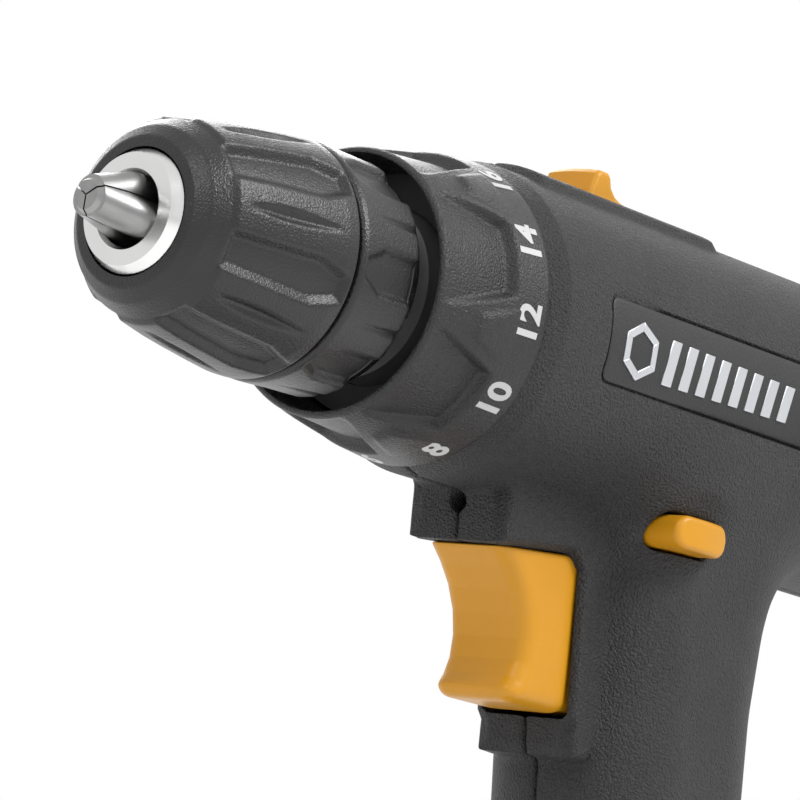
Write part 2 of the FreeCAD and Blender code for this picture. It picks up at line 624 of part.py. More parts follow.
def make_battery():
    """Pack that slides up the grip: two case halves, five cells, contact blades."""
    upper = base_form(0, BASE_SPLIT, BASE_TOP).fuse(stem_form(34.0, 25.6, STEM_TOP, 2.0))
    hollow = base_form(2.4, BASE_SPLIT - 1, BASE_TOP - 2.4).fuse(stem_form(30.0, 21.8, STEM_TOP - 2, 4.0))
    upper = upper.cut(hollow)
    for side in (-1, 1):
        low, high = sorted((side * 25.0, side * 50.0))
        x0 = SEAM_TO_BASE - LATCH_HALF_LENGTH - GAP
        x1 = SEAM_TO_BASE + LATCH_HALF_LENGTH + GAP
        upper = upper.cut(block(x0, x1, low, high, LATCH_BOTTOM - GAP, LATCH_TOP + GAP))
        low, high = sorted((side * 22.0, side * 28.5))
        upper = upper.cut(block(x0, x1, low, high, LATCH_TOP, BASE_TOP + 1))
    save("battery_case_upper", upper.removeSplitter())
    lower = base_form(0, BASE_BOTTOM, BASE_SPLIT).cut(base_form(2.4, BASE_BOTTOM + 2.4, BASE_SPLIT + 1))
    save("battery_case_lower", lower)
    cells = []
    for layer in (0, 1):
        for side in (-1, 1):
            y = side * (CELL_RADIUS + 0.2)
            z = CELL_LOW + layer * (2 * CELL_RADIUS + 0.3)
            cells.append(rod(CELL_RADIUS, SEAM_TO_BASE - CELL_LENGTH / 2, SEAM_TO_BASE + CELL_LENGTH / 2, y, z))
    foot = BASE_BOTTOM + 43.0
    upright = Part.makeCylinder(
        CELL_RADIUS, CELL_LENGTH, FreeCAD.Vector(handle_x(foot) + 0.4, 0, foot), DOWN_HANDLE * -1)
    save("battery_cells", *cells, upright)
    blades = [block(104.0, 110.0, y + 1.1, y + 1.9, STEM_TOP, -73.6) for y in BLADES]
    save("battery_terminals", *blades)


def make_latches():
    """Side buttons whose hooks hold the pack in the foot, and their springs."""
    springs = []
    for side, name in ((-1, "latch_left"), (1, "latch_right")):
        x0 = SEAM_TO_BASE - LATCH_HALF_LENGTH
        x1 = SEAM_TO_BASE + LATCH_HALF_LENGTH
        low, high = sorted((side * LATCH_INNER, side * (BASE_WIDTH / 2 + 0.8)))
        button = block(x0, x1, low, high, LATCH_BOTTOM, LATCH_TOP)
        low, high = sorted((side * LATCH_INNER, side * (LATCH_INNER + 2.4)))
        arm = block(x0 + 2, x1 - 2, low, high, LATCH_BOTTOM, BASE_TOP + 4.0)
        save(name, button.fuse(arm).removeSplitter())
        start = FreeCAD.Vector(SEAM_TO_BASE, side * 20.0, (LATCH_BOTTOM + LATCH_TOP) / 2)
        springs.append(coil(3.2, 0.4, start, LATCH_INNER - 20.0, 3, ACROSS * side))
    save("latch_springs", *springs)


make_jaws()
make_chuck_body()
make_sleeves()
make_spindle()
make_clutch()
make_gearbox()
make_motor()
make_housing()
make_trigger()
make_selectors()
make_wiring()
make_battery()
make_latches()
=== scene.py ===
# %% [markdown]
# # A cordless drill, piece by piece
# The drill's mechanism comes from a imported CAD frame. This lesson keeps that frame fixed and builds
# the visible skins round it: moulded housing halves, two gripping sleeves, the torque ring, the
# amber controls and the battery pack. The frame is in metres, and each piece rides on one body.

# %% Load the frame
import bmesh
import bpy
import math
import numpy as np
import openvdb
from mathutils import Matrix, Vector


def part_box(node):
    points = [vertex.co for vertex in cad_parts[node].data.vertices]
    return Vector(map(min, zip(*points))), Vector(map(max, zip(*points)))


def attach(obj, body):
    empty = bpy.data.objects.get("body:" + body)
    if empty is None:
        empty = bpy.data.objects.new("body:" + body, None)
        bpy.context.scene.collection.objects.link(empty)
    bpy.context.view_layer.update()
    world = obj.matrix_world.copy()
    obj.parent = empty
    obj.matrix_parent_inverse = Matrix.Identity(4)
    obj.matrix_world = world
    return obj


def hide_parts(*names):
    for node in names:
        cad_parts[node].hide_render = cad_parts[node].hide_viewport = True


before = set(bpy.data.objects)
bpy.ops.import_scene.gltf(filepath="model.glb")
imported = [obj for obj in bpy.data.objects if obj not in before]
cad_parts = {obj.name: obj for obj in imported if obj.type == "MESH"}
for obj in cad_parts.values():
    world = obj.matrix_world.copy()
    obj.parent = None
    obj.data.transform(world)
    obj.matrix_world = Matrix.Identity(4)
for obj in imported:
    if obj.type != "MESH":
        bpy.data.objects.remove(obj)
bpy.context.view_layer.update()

# %% [markdown]
# ## Barrel axes
# Almost everything on a drill is arranged round its barrel. So lengths below are millimetres in the
# barrel's own axes: `s` runs from the seam between the two chuck sleeves (0) to the tail, height is
# counted from the barrel's centre line, and an angle of 0 points to the drill's left, 90 straight up.
# Two places read from the frame carry them into the frame's metres.

# %% Barrel axes
MM = 0.001
shaft_low, shaft_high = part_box("motor_shaft")
AXIS_HEIGHT = (shaft_low.z + shaft_high.z) / 2
SEAM_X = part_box("rear_sleeve")[0].x - 0.35 * MM
RAKE = math.radians(7.3)
SEAM_GAP = 0.07


def to_frame(points):
    """Barrel millimetres to frame metres, for an array of points."""
    return np.asarray(points, float) * MM + np.array([SEAM_X, 0.0, AXIS_HEIGHT])


def on_barrel(s, degrees, radius):
    """A point from its place along the barrel, its angle and its radius, in frame metres."""
    a = math.radians(degrees)
    return Vector(to_frame((s, -radius * math.cos(a), radius * math.sin(a))))


def grip_x(z):
    """Where the raked grip's middle lies at a height."""
    return 106.0 - (z + 70.0) * math.tan(RAKE)


print("barrel axis at", round(AXIS_HEIGHT, 4), "seam at", round(SEAM_X, 4))

# %% [markdown]
# ## The camera
# A long lens from slightly below and in front of the left side, tilted a few degrees, so the chuck
# points up and to the left. Its place and its three directions are given in the barrel's axes too.

# %% Camera
LENS = 225.0
VIEW_RIGHT = (0.6234, -0.7667, 0.1533)
VIEW_UP = (-0.2029, 0.0307, 0.9787)
VIEW_BACK = (-0.7551, -0.6412, -0.1364)
EYE = (-548.19, -496.02, -119.99)

camera_data = bpy.data.cameras.new("camera")
camera_data.lens = LENS
camera_data.sensor_width = 36.0
camera_data.clip_start = 0.01
camera = bpy.data.objects.new("camera", camera_data)
bpy.context.scene.collection.objects.link(camera)
turn = Matrix((VIEW_RIGHT, VIEW_UP, VIEW_BACK)).transposed().to_4x4()
camera.matrix_world = Matrix.Translation(Vector(to_frame(EYE))) @ turn
bpy.context.scene.camera = camera
print("camera at", [round(v, 3) for v in camera.matrix_world.translation])

# %% [markdown]
# ## Finishes that come from nodes
# A moulded drill is never one flat grey. The housing carries a spark-eroded grain a few tenths of
# a millimetre wide, the sleeves are smoother and darker, the controls are satin. Each finish below is
# a principled shader whose colour, roughness and bump come from noise in Object coordinates. The
# numbers that are the same all over are set straight on the shader's sockets.

# %% A finish with grain
def finish(name, low, high, rough, grain=0.0, grain_size=0.4, blotch=12.0, metal=0.0, coat=0.0,
           stretch=None, shine=0.5):
    """Two close colours, a roughness range, and a grain of a given depth and size in millimetres."""
    material = bpy.data.materials.new(name)
    material.use_nodes = True
    nodes, links = material.node_tree.nodes, material.node_tree.links
    shader = nodes["Principled BSDF"]
    shader.inputs["Metallic"].default_value = metal
    shader.inputs["Specular IOR Level"].default_value = shine
    shader.inputs["Coat Weight"].default_value = coat
    shader.inputs["Coat Roughness"].default_value = 0.25
    place = nodes.new("ShaderNodeTexCoord")
    mapping = nodes.new("ShaderNodeMapping")
    if stretch:
        mapping.inputs["Scale"].default_value = stretch
    links.new(place.outputs["Object"], mapping.inputs["Vector"])
    patches = nodes.new("ShaderNodeTexNoise")
    patches.inputs["Scale"].default_value = 1.0 / (blotch * MM)
    patches.inputs["Detail"].default_value = 5.0
    links.new(mapping.outputs["Vector"], patches.inputs["Vector"])
    colour = nodes.new("ShaderNodeMix")
    colour.data_type = "RGBA"
    colour.inputs["A"].default_value = (*low, 1.0)
    colour.inputs["B"].default_value = (*high, 1.0)
    links.new(patches.outputs["Fac"], colour.inputs["Factor"])
    links.new(colour.outputs["Result"], shader.inputs["Base Color"])
    gloss = nodes.new("ShaderNodeMapRange")
    gloss.inputs["To Min"].default_value = rough[0]
    gloss.inputs["To Max"].default_value = rough[1]
    grain_noise = nodes.new("ShaderNodeTexNoise")
    grain_noise.inputs["Scale"].default_value = 1.0 / (grain_size * MM)
    grain_noise.inputs["Detail"].default_value = 2.0
    links.new(mapping.outputs["Vector"], grain_noise.inputs["Vector"])
    links.new(grain_noise.outputs["Fac"], gloss.inputs["Value"])
    links.new(gloss.outputs["Result"], shader.inputs["Roughness"])
    if grain:
        bump = nodes.new("ShaderNodeBump")
        bump.inputs["Distance"].default_value = grain * MM
        bump.inputs["Strength"].default_value = 1.0
        links.new(grain_noise.outputs["Fac"], bump.inputs["Height"])
        links.new(bump.outputs["Normal"], shader.inputs["Normal"])
    print("finish", name)
    return material


# %% The finishes of this drill
MOULDED_GREY = finish("spark_eroded_grey", (0.017, 0.017, 0.0185), (0.030, 0.030, 0.0315), (0.44, 0.62),
                      1.15, 0.42, shine=0.36)
SLEEVE_BLACK = finish("satin_sleeve_black", (0.007, 0.007, 0.0078), (0.012, 0.012, 0.013), (0.28, 0.40),
                      0.12, 0.35, shine=0.42)
RING_GREY = finish("ring_moulding", (0.010, 0.010, 0.011), (0.015, 0.015, 0.016), (0.32, 0.46), 0.25,
                   0.35, shine=0.40)
PANEL_GREY = finish("badge_panel", (0.019, 0.019, 0.020), (0.025, 0.025, 0.026), (0.42, 0.55), 0.12, 0.4,
                    shine=0.3)
AMBER = finish("amber_control", (0.44, 0.195, 0.004), (0.50, 0.225, 0.006), (0.34, 0.46), 0.02, 0.5,
               shine=0.35)
PRINT_WHITE = finish("printed_figures", (0.36, 0.36, 0.36), (0.46, 0.46, 0.46), (0.45, 0.6), 0.03, 0.3)
BADGE_SILVER = finish("badge_silver", (0.50, 0.51, 0.53), (0.62, 0.63, 0.65), (0.28, 0.4), 0.006, 0.3,
                      metal=0.85)
BRIGHT_STEEL = finish("turned_bright_steel", (0.60, 0.60, 0.60), (0.76, 0.76, 0.75), (0.14, 0.26), 0.006,
                      0.35, metal=1.0, stretch=(6.0, 1.0, 1.0))
JAW_STEEL = finish("ground_jaw_steel", (0.22, 0.22, 0.22), (0.34, 0.34, 0.335), (0.26, 0.38), 0.01, 0.3,
                   metal=1.0, stretch=(1.0, 5.0, 5.0))
GEAR_STEEL = finish("oiled_gear_steel", (0.33, 0.33, 0.34), (0.46, 0.46, 0.46), (0.25, 0.4), 0.006, 0.3,
                    metal=1.0)
DARK_STEEL = finish("blacked_steel", (0.035, 0.035, 0.038), (0.06, 0.06, 0.064), (0.3, 0.5), 0.01, 0.3,
                    metal=0.8)
CAST_ZINC = finish("cast_zinc", (0.38, 0.38, 0.39), (0.48, 0.48, 0.49), (0.42, 0.6), 0.03, 0.5, metal=1.0)
COPPER_WIRE = finish("enamelled_copper", (0.50, 0.17, 0.06), (0.65, 0.26, 0.10), (0.22, 0.36), 0.03, 0.4,
                     metal=1.0)
CONTACT_BRASS = finish("contact_brass", (0.62, 0.42, 0.14), (0.74, 0.53, 0.22), (0.22, 0.38), 0.006, 0.4,
                       metal=1.0)
BRUSH_CARBON = finish("brush_carbon", (0.012, 0.012, 0.012), (0.024, 0.024, 0.024), (0.6, 0.8), 0.02, 0.3)
CELL_WRAP = finish("cell_wrap", (0.04, 0.12, 0.26), (0.06, 0.17, 0.34), (0.28, 0.4), 0.006, 1.5, coat=0.3)
WIRE_RED = finish("wire_insulation", (0.30, 0.012, 0.010), (0.42, 0.022, 0.016), (0.4, 0.55), 0.008, 0.4)
INNER_BLACK = finish("inner_moulding", (0.016, 0.016, 0.017), (0.026, 0.026, 0.027), (0.45, 0.65), 0.02,
                     0.5)

# %% [markdown]
# ## Carried-over parts
# The gears, motor, cells and wiring already have their true shape in the CAD frame. They stay as they
# are, and each takes the finish of the stuff it is made of, looked up from its name.

# %% Finishes for the carried-over nodes
CARRIED = (
    (("jaw_a", "jaw_b", "jaw_c"), JAW_STEEL),
    (("chuck_body", "chuck_nut", "chuck_screw", "spindle", "motor_shaft", "motor_pinion"), BRIGHT_STEEL),
    (("planet_", "ring_gear_", "bearing_", "clutch_washer", "housing_screws"), GEAR_STEEL),
    (("clutch_spring", "trigger_spring", "latch_springs", "shift_wire"), DARK_STEEL),
    (("motor_can", "armature_core"), DARK_STEEL),
    (("gearbox_case", "gearbox_end_plate"), CAST_ZINC),
    (("commutator", "armature_windings"), COPPER_WIRE),
    (("battery_terminals",), CONTACT_BRASS),
    (("motor_brushes", "motor_magnets"), BRUSH_CARBON),
    (("battery_cells",), CELL_WRAP),
    (("wiring",), WIRE_RED),
)
for node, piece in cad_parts.items():
    matches = [stuff for names, stuff in CARRIED if node.startswith(names)]
    piece.data.materials.clear()
    piece.data.materials.append(matches[0] if matches else INNER_BLACK)
print("carried-over nodes finished:", len(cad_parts))

# %% [markdown]
# ## A moulded skin grown from a rule
# The drill's housing flows: barrel into grip, grip into foot, with soft fillets many millimetres wide.
# Joining boxes and cylinders by hand leaves hard lines there, so the skin is described as a distance
# rule instead. Each helper gives the distance from a point to one simple form, and `soften` joins two
# forms with a fillet. A grid of those distances becomes a quad mesh, and every mesh point is then
# moved along the slope of the rule until it lies on the surface, edges included.

# %% Distance rules
def soften(a, b, width):
    """Join two forms with a fillet of about that width."""
    if not width:
        return np.minimum(a, b)
    h = np.clip(0.5 + 0.5 * (b - a) / width, 0, 1)
    return b + (a - b) * h - width * h * (1 - h)


def carve(a, b, width=0.0):
    """Take form b out of form a, with a rounded edge."""
    return -soften(-a, b, width)


def meet(a, b, width=0.0):
    """What two forms share, with a rounded edge."""
    return -soften(-a, -b, width)


def rounded_rectangle(u, v, half_u, half_v, corner):
    qu, qv = np.abs(u) - half_u + corner, np.abs(v) - half_v + corner
    outside = np.hypot(np.maximum(qu, 0), np.maximum(qv, 0))
    return np.minimum(np.maximum(qu, qv), 0) + outside - corner


def raised(flat, across, half, corner):
    """A flat form given a thickness of twice half, with its edges rounded."""
    inner_flat, inner_across = flat + corner, np.abs(across) - half + corner
    outside = np.hypot(np.maximum(inner_flat, 0), np.maximum(inner_across, 0))
    return np.minimum(np.maximum(inner_flat, inner_across), 0) + outside - corner


def rounded_block(x, y, z, low, high, corner):
    middle = [(a + b) / 2 for a, b in zip(low, high)]
    half = [(b - a) / 2 for a, b in zip(low, high)]
    flat = rounded_rectangle(x - middle[0], y - middle[1], half[0], half[1], corner)
    return raised(flat, z - middle[2], half[2], corner)


def turned_bar(x, y, z, start, end, radius, corner):
    """A round bar along the barrel with rounded rims."""
    return raised(np.hypot(y, z) - radius, x - (start + end) / 2, (end - start) / 2, corner)


def outline(u, v, corners):
    """Signed distance to a closed outline, negative inside."""
    distance = np.full(u.shape, 1e9)
    inside = np.zeros(u.shape, bool)
    for (u0, v0), (u1, v1) in zip(corners, corners[1:] + corners[:1]):
        du, dv = u1 - u0, v1 - v0
        t = np.clip(((u - u0) * du + (v - v0) * dv) / (du * du + dv * dv), 0, 1)
        distance = np.minimum(distance, np.hypot(u - u0 - t * du, v - v0 - t * dv))
        if dv:
            crosses = ((v0 > v) != (v1 > v)) & (u < u0 + (v - v0) * du / dv)
            inside ^= crosses
    return np.where(inside, -distance, distance)


def smooth_table(stations, softness=4.0):
    """Values read smoothly between stations (z, value, value ...), top first."""
    z = np.arange(stations[-1][0], stations[0][0], 0.5)
    known = np.array(stations[::-1], float)
    window = np.hanning(int(softness * 4) | 1)
    window /= window.sum()
    reach = len(window) // 2
    columns = []
    for i in range(1, known.shape[1]):
        plain = np.pad(np.interp(z, known[:, 0], known[:, i]), reach, mode="edge")
        columns.append(np.convolve(plain, window, mode="valid"))
    return lambda height: [np.interp(height, z, column) for column in columns]


# %% Growing the mesh
def slope(form, points, step=0.02):
    """The rule's gradient at some points."""
    parts = []
    for axis in range(3):
        ahead, behind = points.copy(), points.copy()
        ahead[:, axis] += step
        behind[:, axis] -= step
        parts.append(form(*ahead.T) - form(*behind.T))
    return np.stack(parts, 1) / (2 * step)


def settle(form, points, rounds=4):
    """Move points along the slope until they lie on the surface."""
    for _ in range(rounds):
        way = slope(form, points)
        steep = np.maximum((way * way).sum(1, keepdims=True), 0.05)
        points = points - np.clip(form(*points.T)[:, None] / steep, -1, 1) * way
    return points


def crease(form, points, quads, reach):
    """Pull points beside an edge onto it, from the planes of the points round them."""
    way = slope(form, points, 0.05)
    way /= np.maximum(np.linalg.norm(way, axis=1, keepdims=True), 1e-9)
    planes = np.zeros((len(points), 3, 3))
    aims = np.zeros((len(points), 3))
    outer = way[:, :, None] * way[:, None, :]
    target = way * (way * points).sum(1, keepdims=True)
    for a in range(4):
        for b in range(1, 4):
            here, there = quads[:, a], quads[:, (a + b) % 4]
            np.add.at(planes, here, outer[there])
            np.add.at(aims, here, target[there])
    hold = 0.25
    planes += np.eye(3) * hold
    moved = np.linalg.solve(planes, (aims + hold * points)[:, :, None])[:, :, 0]
    far = np.linalg.norm(moved - points, axis=1, keepdims=True)
    return points + (moved - points) * np.minimum(1, reach / np.maximum(far, 1e-9))


def grown(form, low, high, cell, creased=True):
    """Points and quads where the rule is zero, worked out block by block near the surface."""
    low, high, block = np.array(low, float), np.array(high, float), 8
    blocks = np.ceil((high - low) / (cell * block)).astype(int)
    corner = np.stack(np.meshgrid(*[np.arange(n) for n in blocks], indexing="ij"), -1).reshape(-1, 3)
    middle = low + (corner + 0.5) * block * cell - 0.5 * cell
    rough_distance = form(*middle.T)
    near = np.abs(rough_distance) < block * cell * 1.1
    field = np.repeat(np.where(rough_distance < 0, -3.0, 3.0), block**3).reshape(-1, block, block, block)
    local = np.stack(np.meshgrid(*[np.arange(block)] * 3, indexing="ij"), -1).reshape(-1, 3)
    spots = low + (corner[near][:, None] * block + local[None]) * cell
    field[near] = np.clip(form(*spots.reshape(-1, 3).T) / cell, -3, 3).reshape(-1, block, block, block)
    field = field.reshape(*blocks, block, block, block).transpose(0, 3, 1, 4, 2, 5)
    field = np.ascontiguousarray(field.reshape(blocks * block), np.float32)
    grid = openvdb.FloatGrid(3.0)
    grid.copyFromArray(field)
    points, quads = grid.convertToQuads()
    points = settle(form, low + points.astype(float) * cell)
    if creased:
        points = settle(form, crease(form, points, quads, 0.7 * cell), 2)
    a, b, c, d = (points[quads[:, i]] for i in range(4))
    volume = (np.cross(c - a, d - b) * (a + b + c + d)).sum()
    return points, quads if volume > 0 else quads[:, ::-1]


def piece_from(name, points, faces, stuff, sharp=38.0, in_barrel=True):
    """A piece with its place in its mesh, smooth except across edges sharper than an angle."""
    mesh = bpy.data.meshes.new(name)
    places = to_frame(points) if in_barrel else np.asarray(points)
    mesh.from_pydata(places.tolist(), [], [list(face) for face in faces])
    mesh.validate()
    mesh.polygons.foreach_set("use_smooth", [True] * len(mesh.polygons))
    mesh.set_sharp_from_angle(angle=math.radians(sharp))
    mesh.materials.append(stuff)
    mesh.update()
    piece = bpy.data.objects.new(name, mesh)
    bpy.context.scene.collection.objects.link(piece)
    return piece


def skin(name, form, low, high, cell, stuff, body, slot, *stands_for, sharp=38.0):
    """Grow a piece from its rule, hang it on its body and let it stand for its CAD nodes."""
    points, quads = grown(form, low, high, cell)
    piece = piece_from(name, points, quads.tolist(), stuff, sharp)
    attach(piece, body)
    if stands_for:
        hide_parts(*stands_for)
    print(name, len(quads), "quads")
    return piece


# %% [markdown]
# ## The housing
# Two clamshell halves, split down the middle. The outside is a round barrel, a raked grip that swells
# where the palm sits, a foot that spreads over the battery, a nose block, a raised boss round the trigger
# and a lip under it. The inside is hollow, so a vent or the open foot shows a real wall.

# %% Outside of the housing
BARREL = dict(start=38.9, end=166.0, radius=25.3)
GRIP_STATIONS = (
    (-6, 62, 41.4, 3.6), (-14, 58, 39.6, 3.2), (-24, 51.5, 37.2, 1.9), (-36, 47.5, 35.4, 0.6),
    (-50, 45, 34.4, 0), (-70, 44, 34, 0), (-95, 43.5, 34, 0), (-113, 45, 35.5, 0.5), (-124, 49, 39, 1),
    (-134, 56, 45, 1.5))
FOOT_STATIONS = ((-112, 30, 22, 4, 8), (-120, 46, 37, 4, 14), (-127, 70, 50, 3, 15), (-133, 88, 60, 2.5, 15),
                 (-138, 97, 65.5, 1.5, 13), (-143, 102, 69.4, 0.6, 12), (-149, 104.4, 71.4, 0, 12))
NOSE_OUTLINE = [(49, -10), (52.9, -23.0), (55.2, -32.9), (72, -31.2), (90, -31.2), (90, -10)]
BOSS_OUTLINE = [(53.2, -18), (54.5, -32.8), (72.8, -31.0), (75.2, -33.6), (78.1, -57.0), (79.4, -58.4),
                (79.8, -63.2), (83.4, -63.4), (84.4, -60.5), (82.0, -30.5), (80.0, -24.0), (79.5, -18)]
LIP_OUTLINE = [(78.3, -56.6), (79.3, -61.9), (81, -63.0), (92, -63.0), (92, -56.6)]
grip_table, foot_table = smooth_table(GRIP_STATIONS), smooth_table(FOOT_STATIONS, 3.0)
FOOT_BOTTOM = -149.0
BASE_MIDDLE = 108.0
NOSE_HALF, BOSS_HALF, LIP_HALF = 8.4, 10.2, 8.4
SADDLE = dict(start=49.0, end=96.4, radius=26.7, half=10.5)


def grip_form(x, y, z):
    length, width, shift = grip_table(z)
    flat = rounded_rectangle(x - grip_x(z) - shift, y, length / 2, width / 2, 0.47 * width)
    return np.maximum(flat, np.maximum(z + 5, FOOT_BOTTOM - z))


def foot_form(x, y, z):
    length, width, shift, corner = foot_table(z)
    flat = rounded_rectangle(x - BASE_MIDDLE - shift, y, length / 2, width / 2, corner)
    return np.maximum(0.8 * flat, np.maximum(z + 113, FOOT_BOTTOM - z))


def barrel_form(x, y, z):
    front = turned_bar(x, y, z, BARREL["start"], 130.0, BARREL["radius"], 0.3)
    lead_in = (np.hypot(y, z) - BARREL["radius"]) * 0.95 - (x - 42.8) * 0.31
    front = np.maximum(front, lead_in)
    tail = turned_bar(x, y, z, 60.0, BARREL["end"], BARREL["radius"] - 0.1, 7.5)
    saddle = turned_bar(x, y, z, SADDLE["start"], SADDLE["end"], SADDLE["radius"], 0.9)
    saddle = meet(saddle, np.abs(y) - SADDLE["half"], 1.0)
    saddle = np.maximum(saddle, -z)
    return soften(soften(front, tail, 0.4), saddle, 1.2)


def outside_form(x, y, z):
    main = soften(barrel_form(x, y, z), grip_form(x, y, z), 11.0)
    main = soften(main, foot_form(x, y, z), 10.0)
    nose = raised(outline(x, z, NOSE_OUTLINE), y, NOSE_HALF, 1.0)
    boss = raised(outline(x, z, BOSS_OUTLINE), y, BOSS_HALF, 1.3)
    lip = raised(outline(x, z, LIP_OUTLINE), y, LIP_HALF, 1.2)
    body = soften(main, nose, 2.0)
    body = soften(body, boss, 1.6)
    body = soften(body, lip, 0.8)
    groove = rounded_block(x, np.abs(y), z, (52.6, 7.7, -31.6), (54.0, 11.5, -24.6), 0.5)
    return carve(body, groove, 0.6)


# %% Inside of the housing and its openings
GRIP_HOLLOW = ((-10, 46, 31), (-36, 40, 29.4), (-70, 38.6, 28.8), (-121, 38.6, 28.8))
FOOT_HOLLOW = ((-114, 33, 23, 4, 9), (-135, 76, 48, 2, 13), (-152, 95, 63.5, 0, 12))
grip_hollow_table, foot_hollow_table = smooth_table(GRIP_HOLLOW), smooth_table(FOOT_HOLLOW)
VENT_FIRST, VENT_PITCH, VENT_COUNT = 138.0, 4.2, 5
VENT_HEIGHTS = (-4.5, 8.0)
PIN_HOLE_Z, PIN_HOLE_RADIUS = -26.9, 1.65
BAR_S = 89.5


def inside_form(x, y, z):
    bore = soften(turned_bar(x, y, z, 30, 50, 20.75, 0.4), turned_bar(x, y, z, 42, 80, 21.65, 0.4), 0)
    bore = soften(bore, turned_bar(x, y, z, 78, 163.2, 22.5, 5.0), 0)
    length, width = grip_hollow_table(z)
    grip = rounded_rectangle(x - grip_x(z) - 0.4, y, length / 2, width / 2, 0.4 * width)
    grip = np.maximum(grip, np.maximum(z + 10, -121 - z))
    length, width, shift, corner = foot_hollow_table(z)
    foot = rounded_rectangle(x - BASE_MIDDLE - shift, y, length / 2, width / 2, corner)
    foot = np.maximum(0.8 * foot, np.maximum(z + 114, -155 - z))
    hollow = soften(soften(bore, grip, 3.0), foot, 3.0)
    bay = rounded_block(x, y, z, (50.0, -8.75, -57.3), (110.0, 8.75, -33.0), 1.6)
    return soften(hollow, bay, 0.4)


def openings_form(x, y, z):
    """The pin hole, the selector's slot, the direction bar's hole with its dish, and the vents."""
    pin = np.maximum(np.hypot(y, z - PIN_HOLE_Z) - PIN_HOLE_RADIUS, x - 62)
    slot = rounded_block(x, y, z, (53.5, -5.6, 20), (86.5, 5.6, 40), 0.8)
    bar = rounded_block(x, z, y, (82.4, -28.3, -40), (96.6, -21.9, 40), 2.8)
    dish = np.sqrt(((x - BAR_S) / 11.5) ** 2 + ((z + 25.0) / 7.5) ** 2 + ((np.abs(y) - 23.2) / 4.2) ** 2)
    dish = 4 * dish - 4
    vents = np.full(x.shape, 99.0)
    for vent in range(VENT_COUNT):
        for height in VENT_HEIGHTS:
            flat = rounded_rectangle(x - VENT_FIRST - VENT_PITCH * vent, z - height, 1.0, 4.5, 0.98)
            vents = np.minimum(vents, np.maximum(flat, 12 - np.abs(y)))
    cuts = np.minimum(np.minimum(pin, slot), np.minimum(bar, vents))
    return soften(cuts, np.maximum(dish, 17 - np.abs(y)), 0.6)


# %% Badge recess and screw pockets
BADGE = dict(start=53.6, end=112.0, half_angle=16.2)
BADGE_MIDDLE = (BADGE["start"] + BADGE["end"]) / 2
BADGE_HALF_LENGTH = (BADGE["end"] - BADGE["start"]) / 2
BADGE_HALF_HEIGHT = BADGE["half_angle"] * BARREL["radius"] * math.pi / 180
PLATE_CORNER = 1.6
SCREW_PLACES = ((62.5, -29.6), (104.0, -64.0), (122.0, 21.8), (153.5, -15.0), (153.5, 15.0),
                (74.0, -143.0), (146.0, -143.0))
screw_mesh = np.array([v.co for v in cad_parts["housing_screws"].data.vertices])
screw_points = (screw_mesh - np.array([SEAM_X, 0, AXIS_HEIGHT])) / MM
screw_tops = []
for s, z in SCREW_PLACES:
    mine = np.hypot(screw_points[:, 0] - s, screw_points[:, 2] - z) < 3.4
    screw_tops.append(screw_points[mine][:, 1].max())
print("screw heads at y =", [round(float(t), 1) for t in screw_tops])


def badge_recess(x, y, z, side):
    """A shallow tray for the badge plate, laid round the barrel."""
    arc = BARREL["radius"] * np.arctan2(z, side * y)
    flat = rounded_rectangle(x - BADGE_MIDDLE, arc, BADGE_HALF_LENGTH, BADGE_HALF_HEIGHT, PLATE_CORNER)
    return np.maximum(np.maximum(flat, 24.6 - np.hypot(y, z)), -side * y)


def housing_half(side):
    """Rule for one half: side is -1 for left, 1 for right."""
    def form(x, y, z):
        shell = carve(outside_form(x, y, z), inside_form(x, y, z))
        shell = carve(shell, openings_form(x, y, z), 0.5)
        shell = carve(shell, badge_recess(x, y, z, side), 0.3)
        if side > 0:
            for (s, height), top in zip(SCREW_PLACES, screw_tops):
                pocket = np.maximum(np.hypot(x - s, z - height) - 3.2, top - 1.7 - y)
                shell = carve(shell, pocket, 0.5)
        return meet(shell, SEAM_GAP - side * y, 0.9)
    return form


# %% Grow both halves
CELL = 0.8
HALF_LOW, HALF_HIGH = (36.0, -1.2, -151.5), (169.0, 38.5, 33.0)
LEFT_LOW = (HALF_LOW[0], -HALF_HIGH[1], HALF_LOW[2])
LEFT_HIGH = (HALF_HIGH[0], -HALF_LOW[1], HALF_HIGH[2])
skin("housing_skin_left", housing_half(-1), LEFT_LOW, LEFT_HIGH, CELL, MOULDED_GREY, "root",
     "housing_plastic", "housing_left")
skin("housing_skin_right", housing_half(1), HALF_LOW, HALF_HIGH, CELL, MOULDED_GREY, "root",
     "housing_plastic", "housing_right")

# %% [markdown]
# ## Sleeves and torque ring: one sector, turned round the axis
# The two chuck sleeves and the torque ring are round parts whose grips repeat: seven troughs on each
# sleeve and six teeth on the ring. A lathe-turned profile with a relief cut into it describes one
# sector. A Geometry Nodes tree then sets copies of that sector round the barrel, welds them and gives
# them their finish, so a change of count or relief is one number.

# %% One sector
def round_corners(profile, step, softness):
    """Stations along a profile at an even step, its corners eased over a given length."""
    profile = np.array(profile, float)
    travelled = np.concatenate(([0], np.cumsum(np.linalg.norm(np.diff(profile, axis=0), axis=1))))
    marks = np.linspace(0, travelled[-1], int(travelled[-1] / step) + 1)
    window = np.hanning(max(3, int(2 * softness / step)) | 1)[1:-1]
    window /= window.sum()
    columns = []
    for column in profile.T:
        plain = np.interp(marks, travelled, column)
        padded = np.concatenate((2 * plain[0] - plain[len(window) // 2:0:-1], plain,
                                 2 * plain[-1] - plain[-2:-2 - len(window) // 2:-1]))
        columns.append(np.convolve(padded, window, mode="valid"))
    return np.stack(columns, 1)


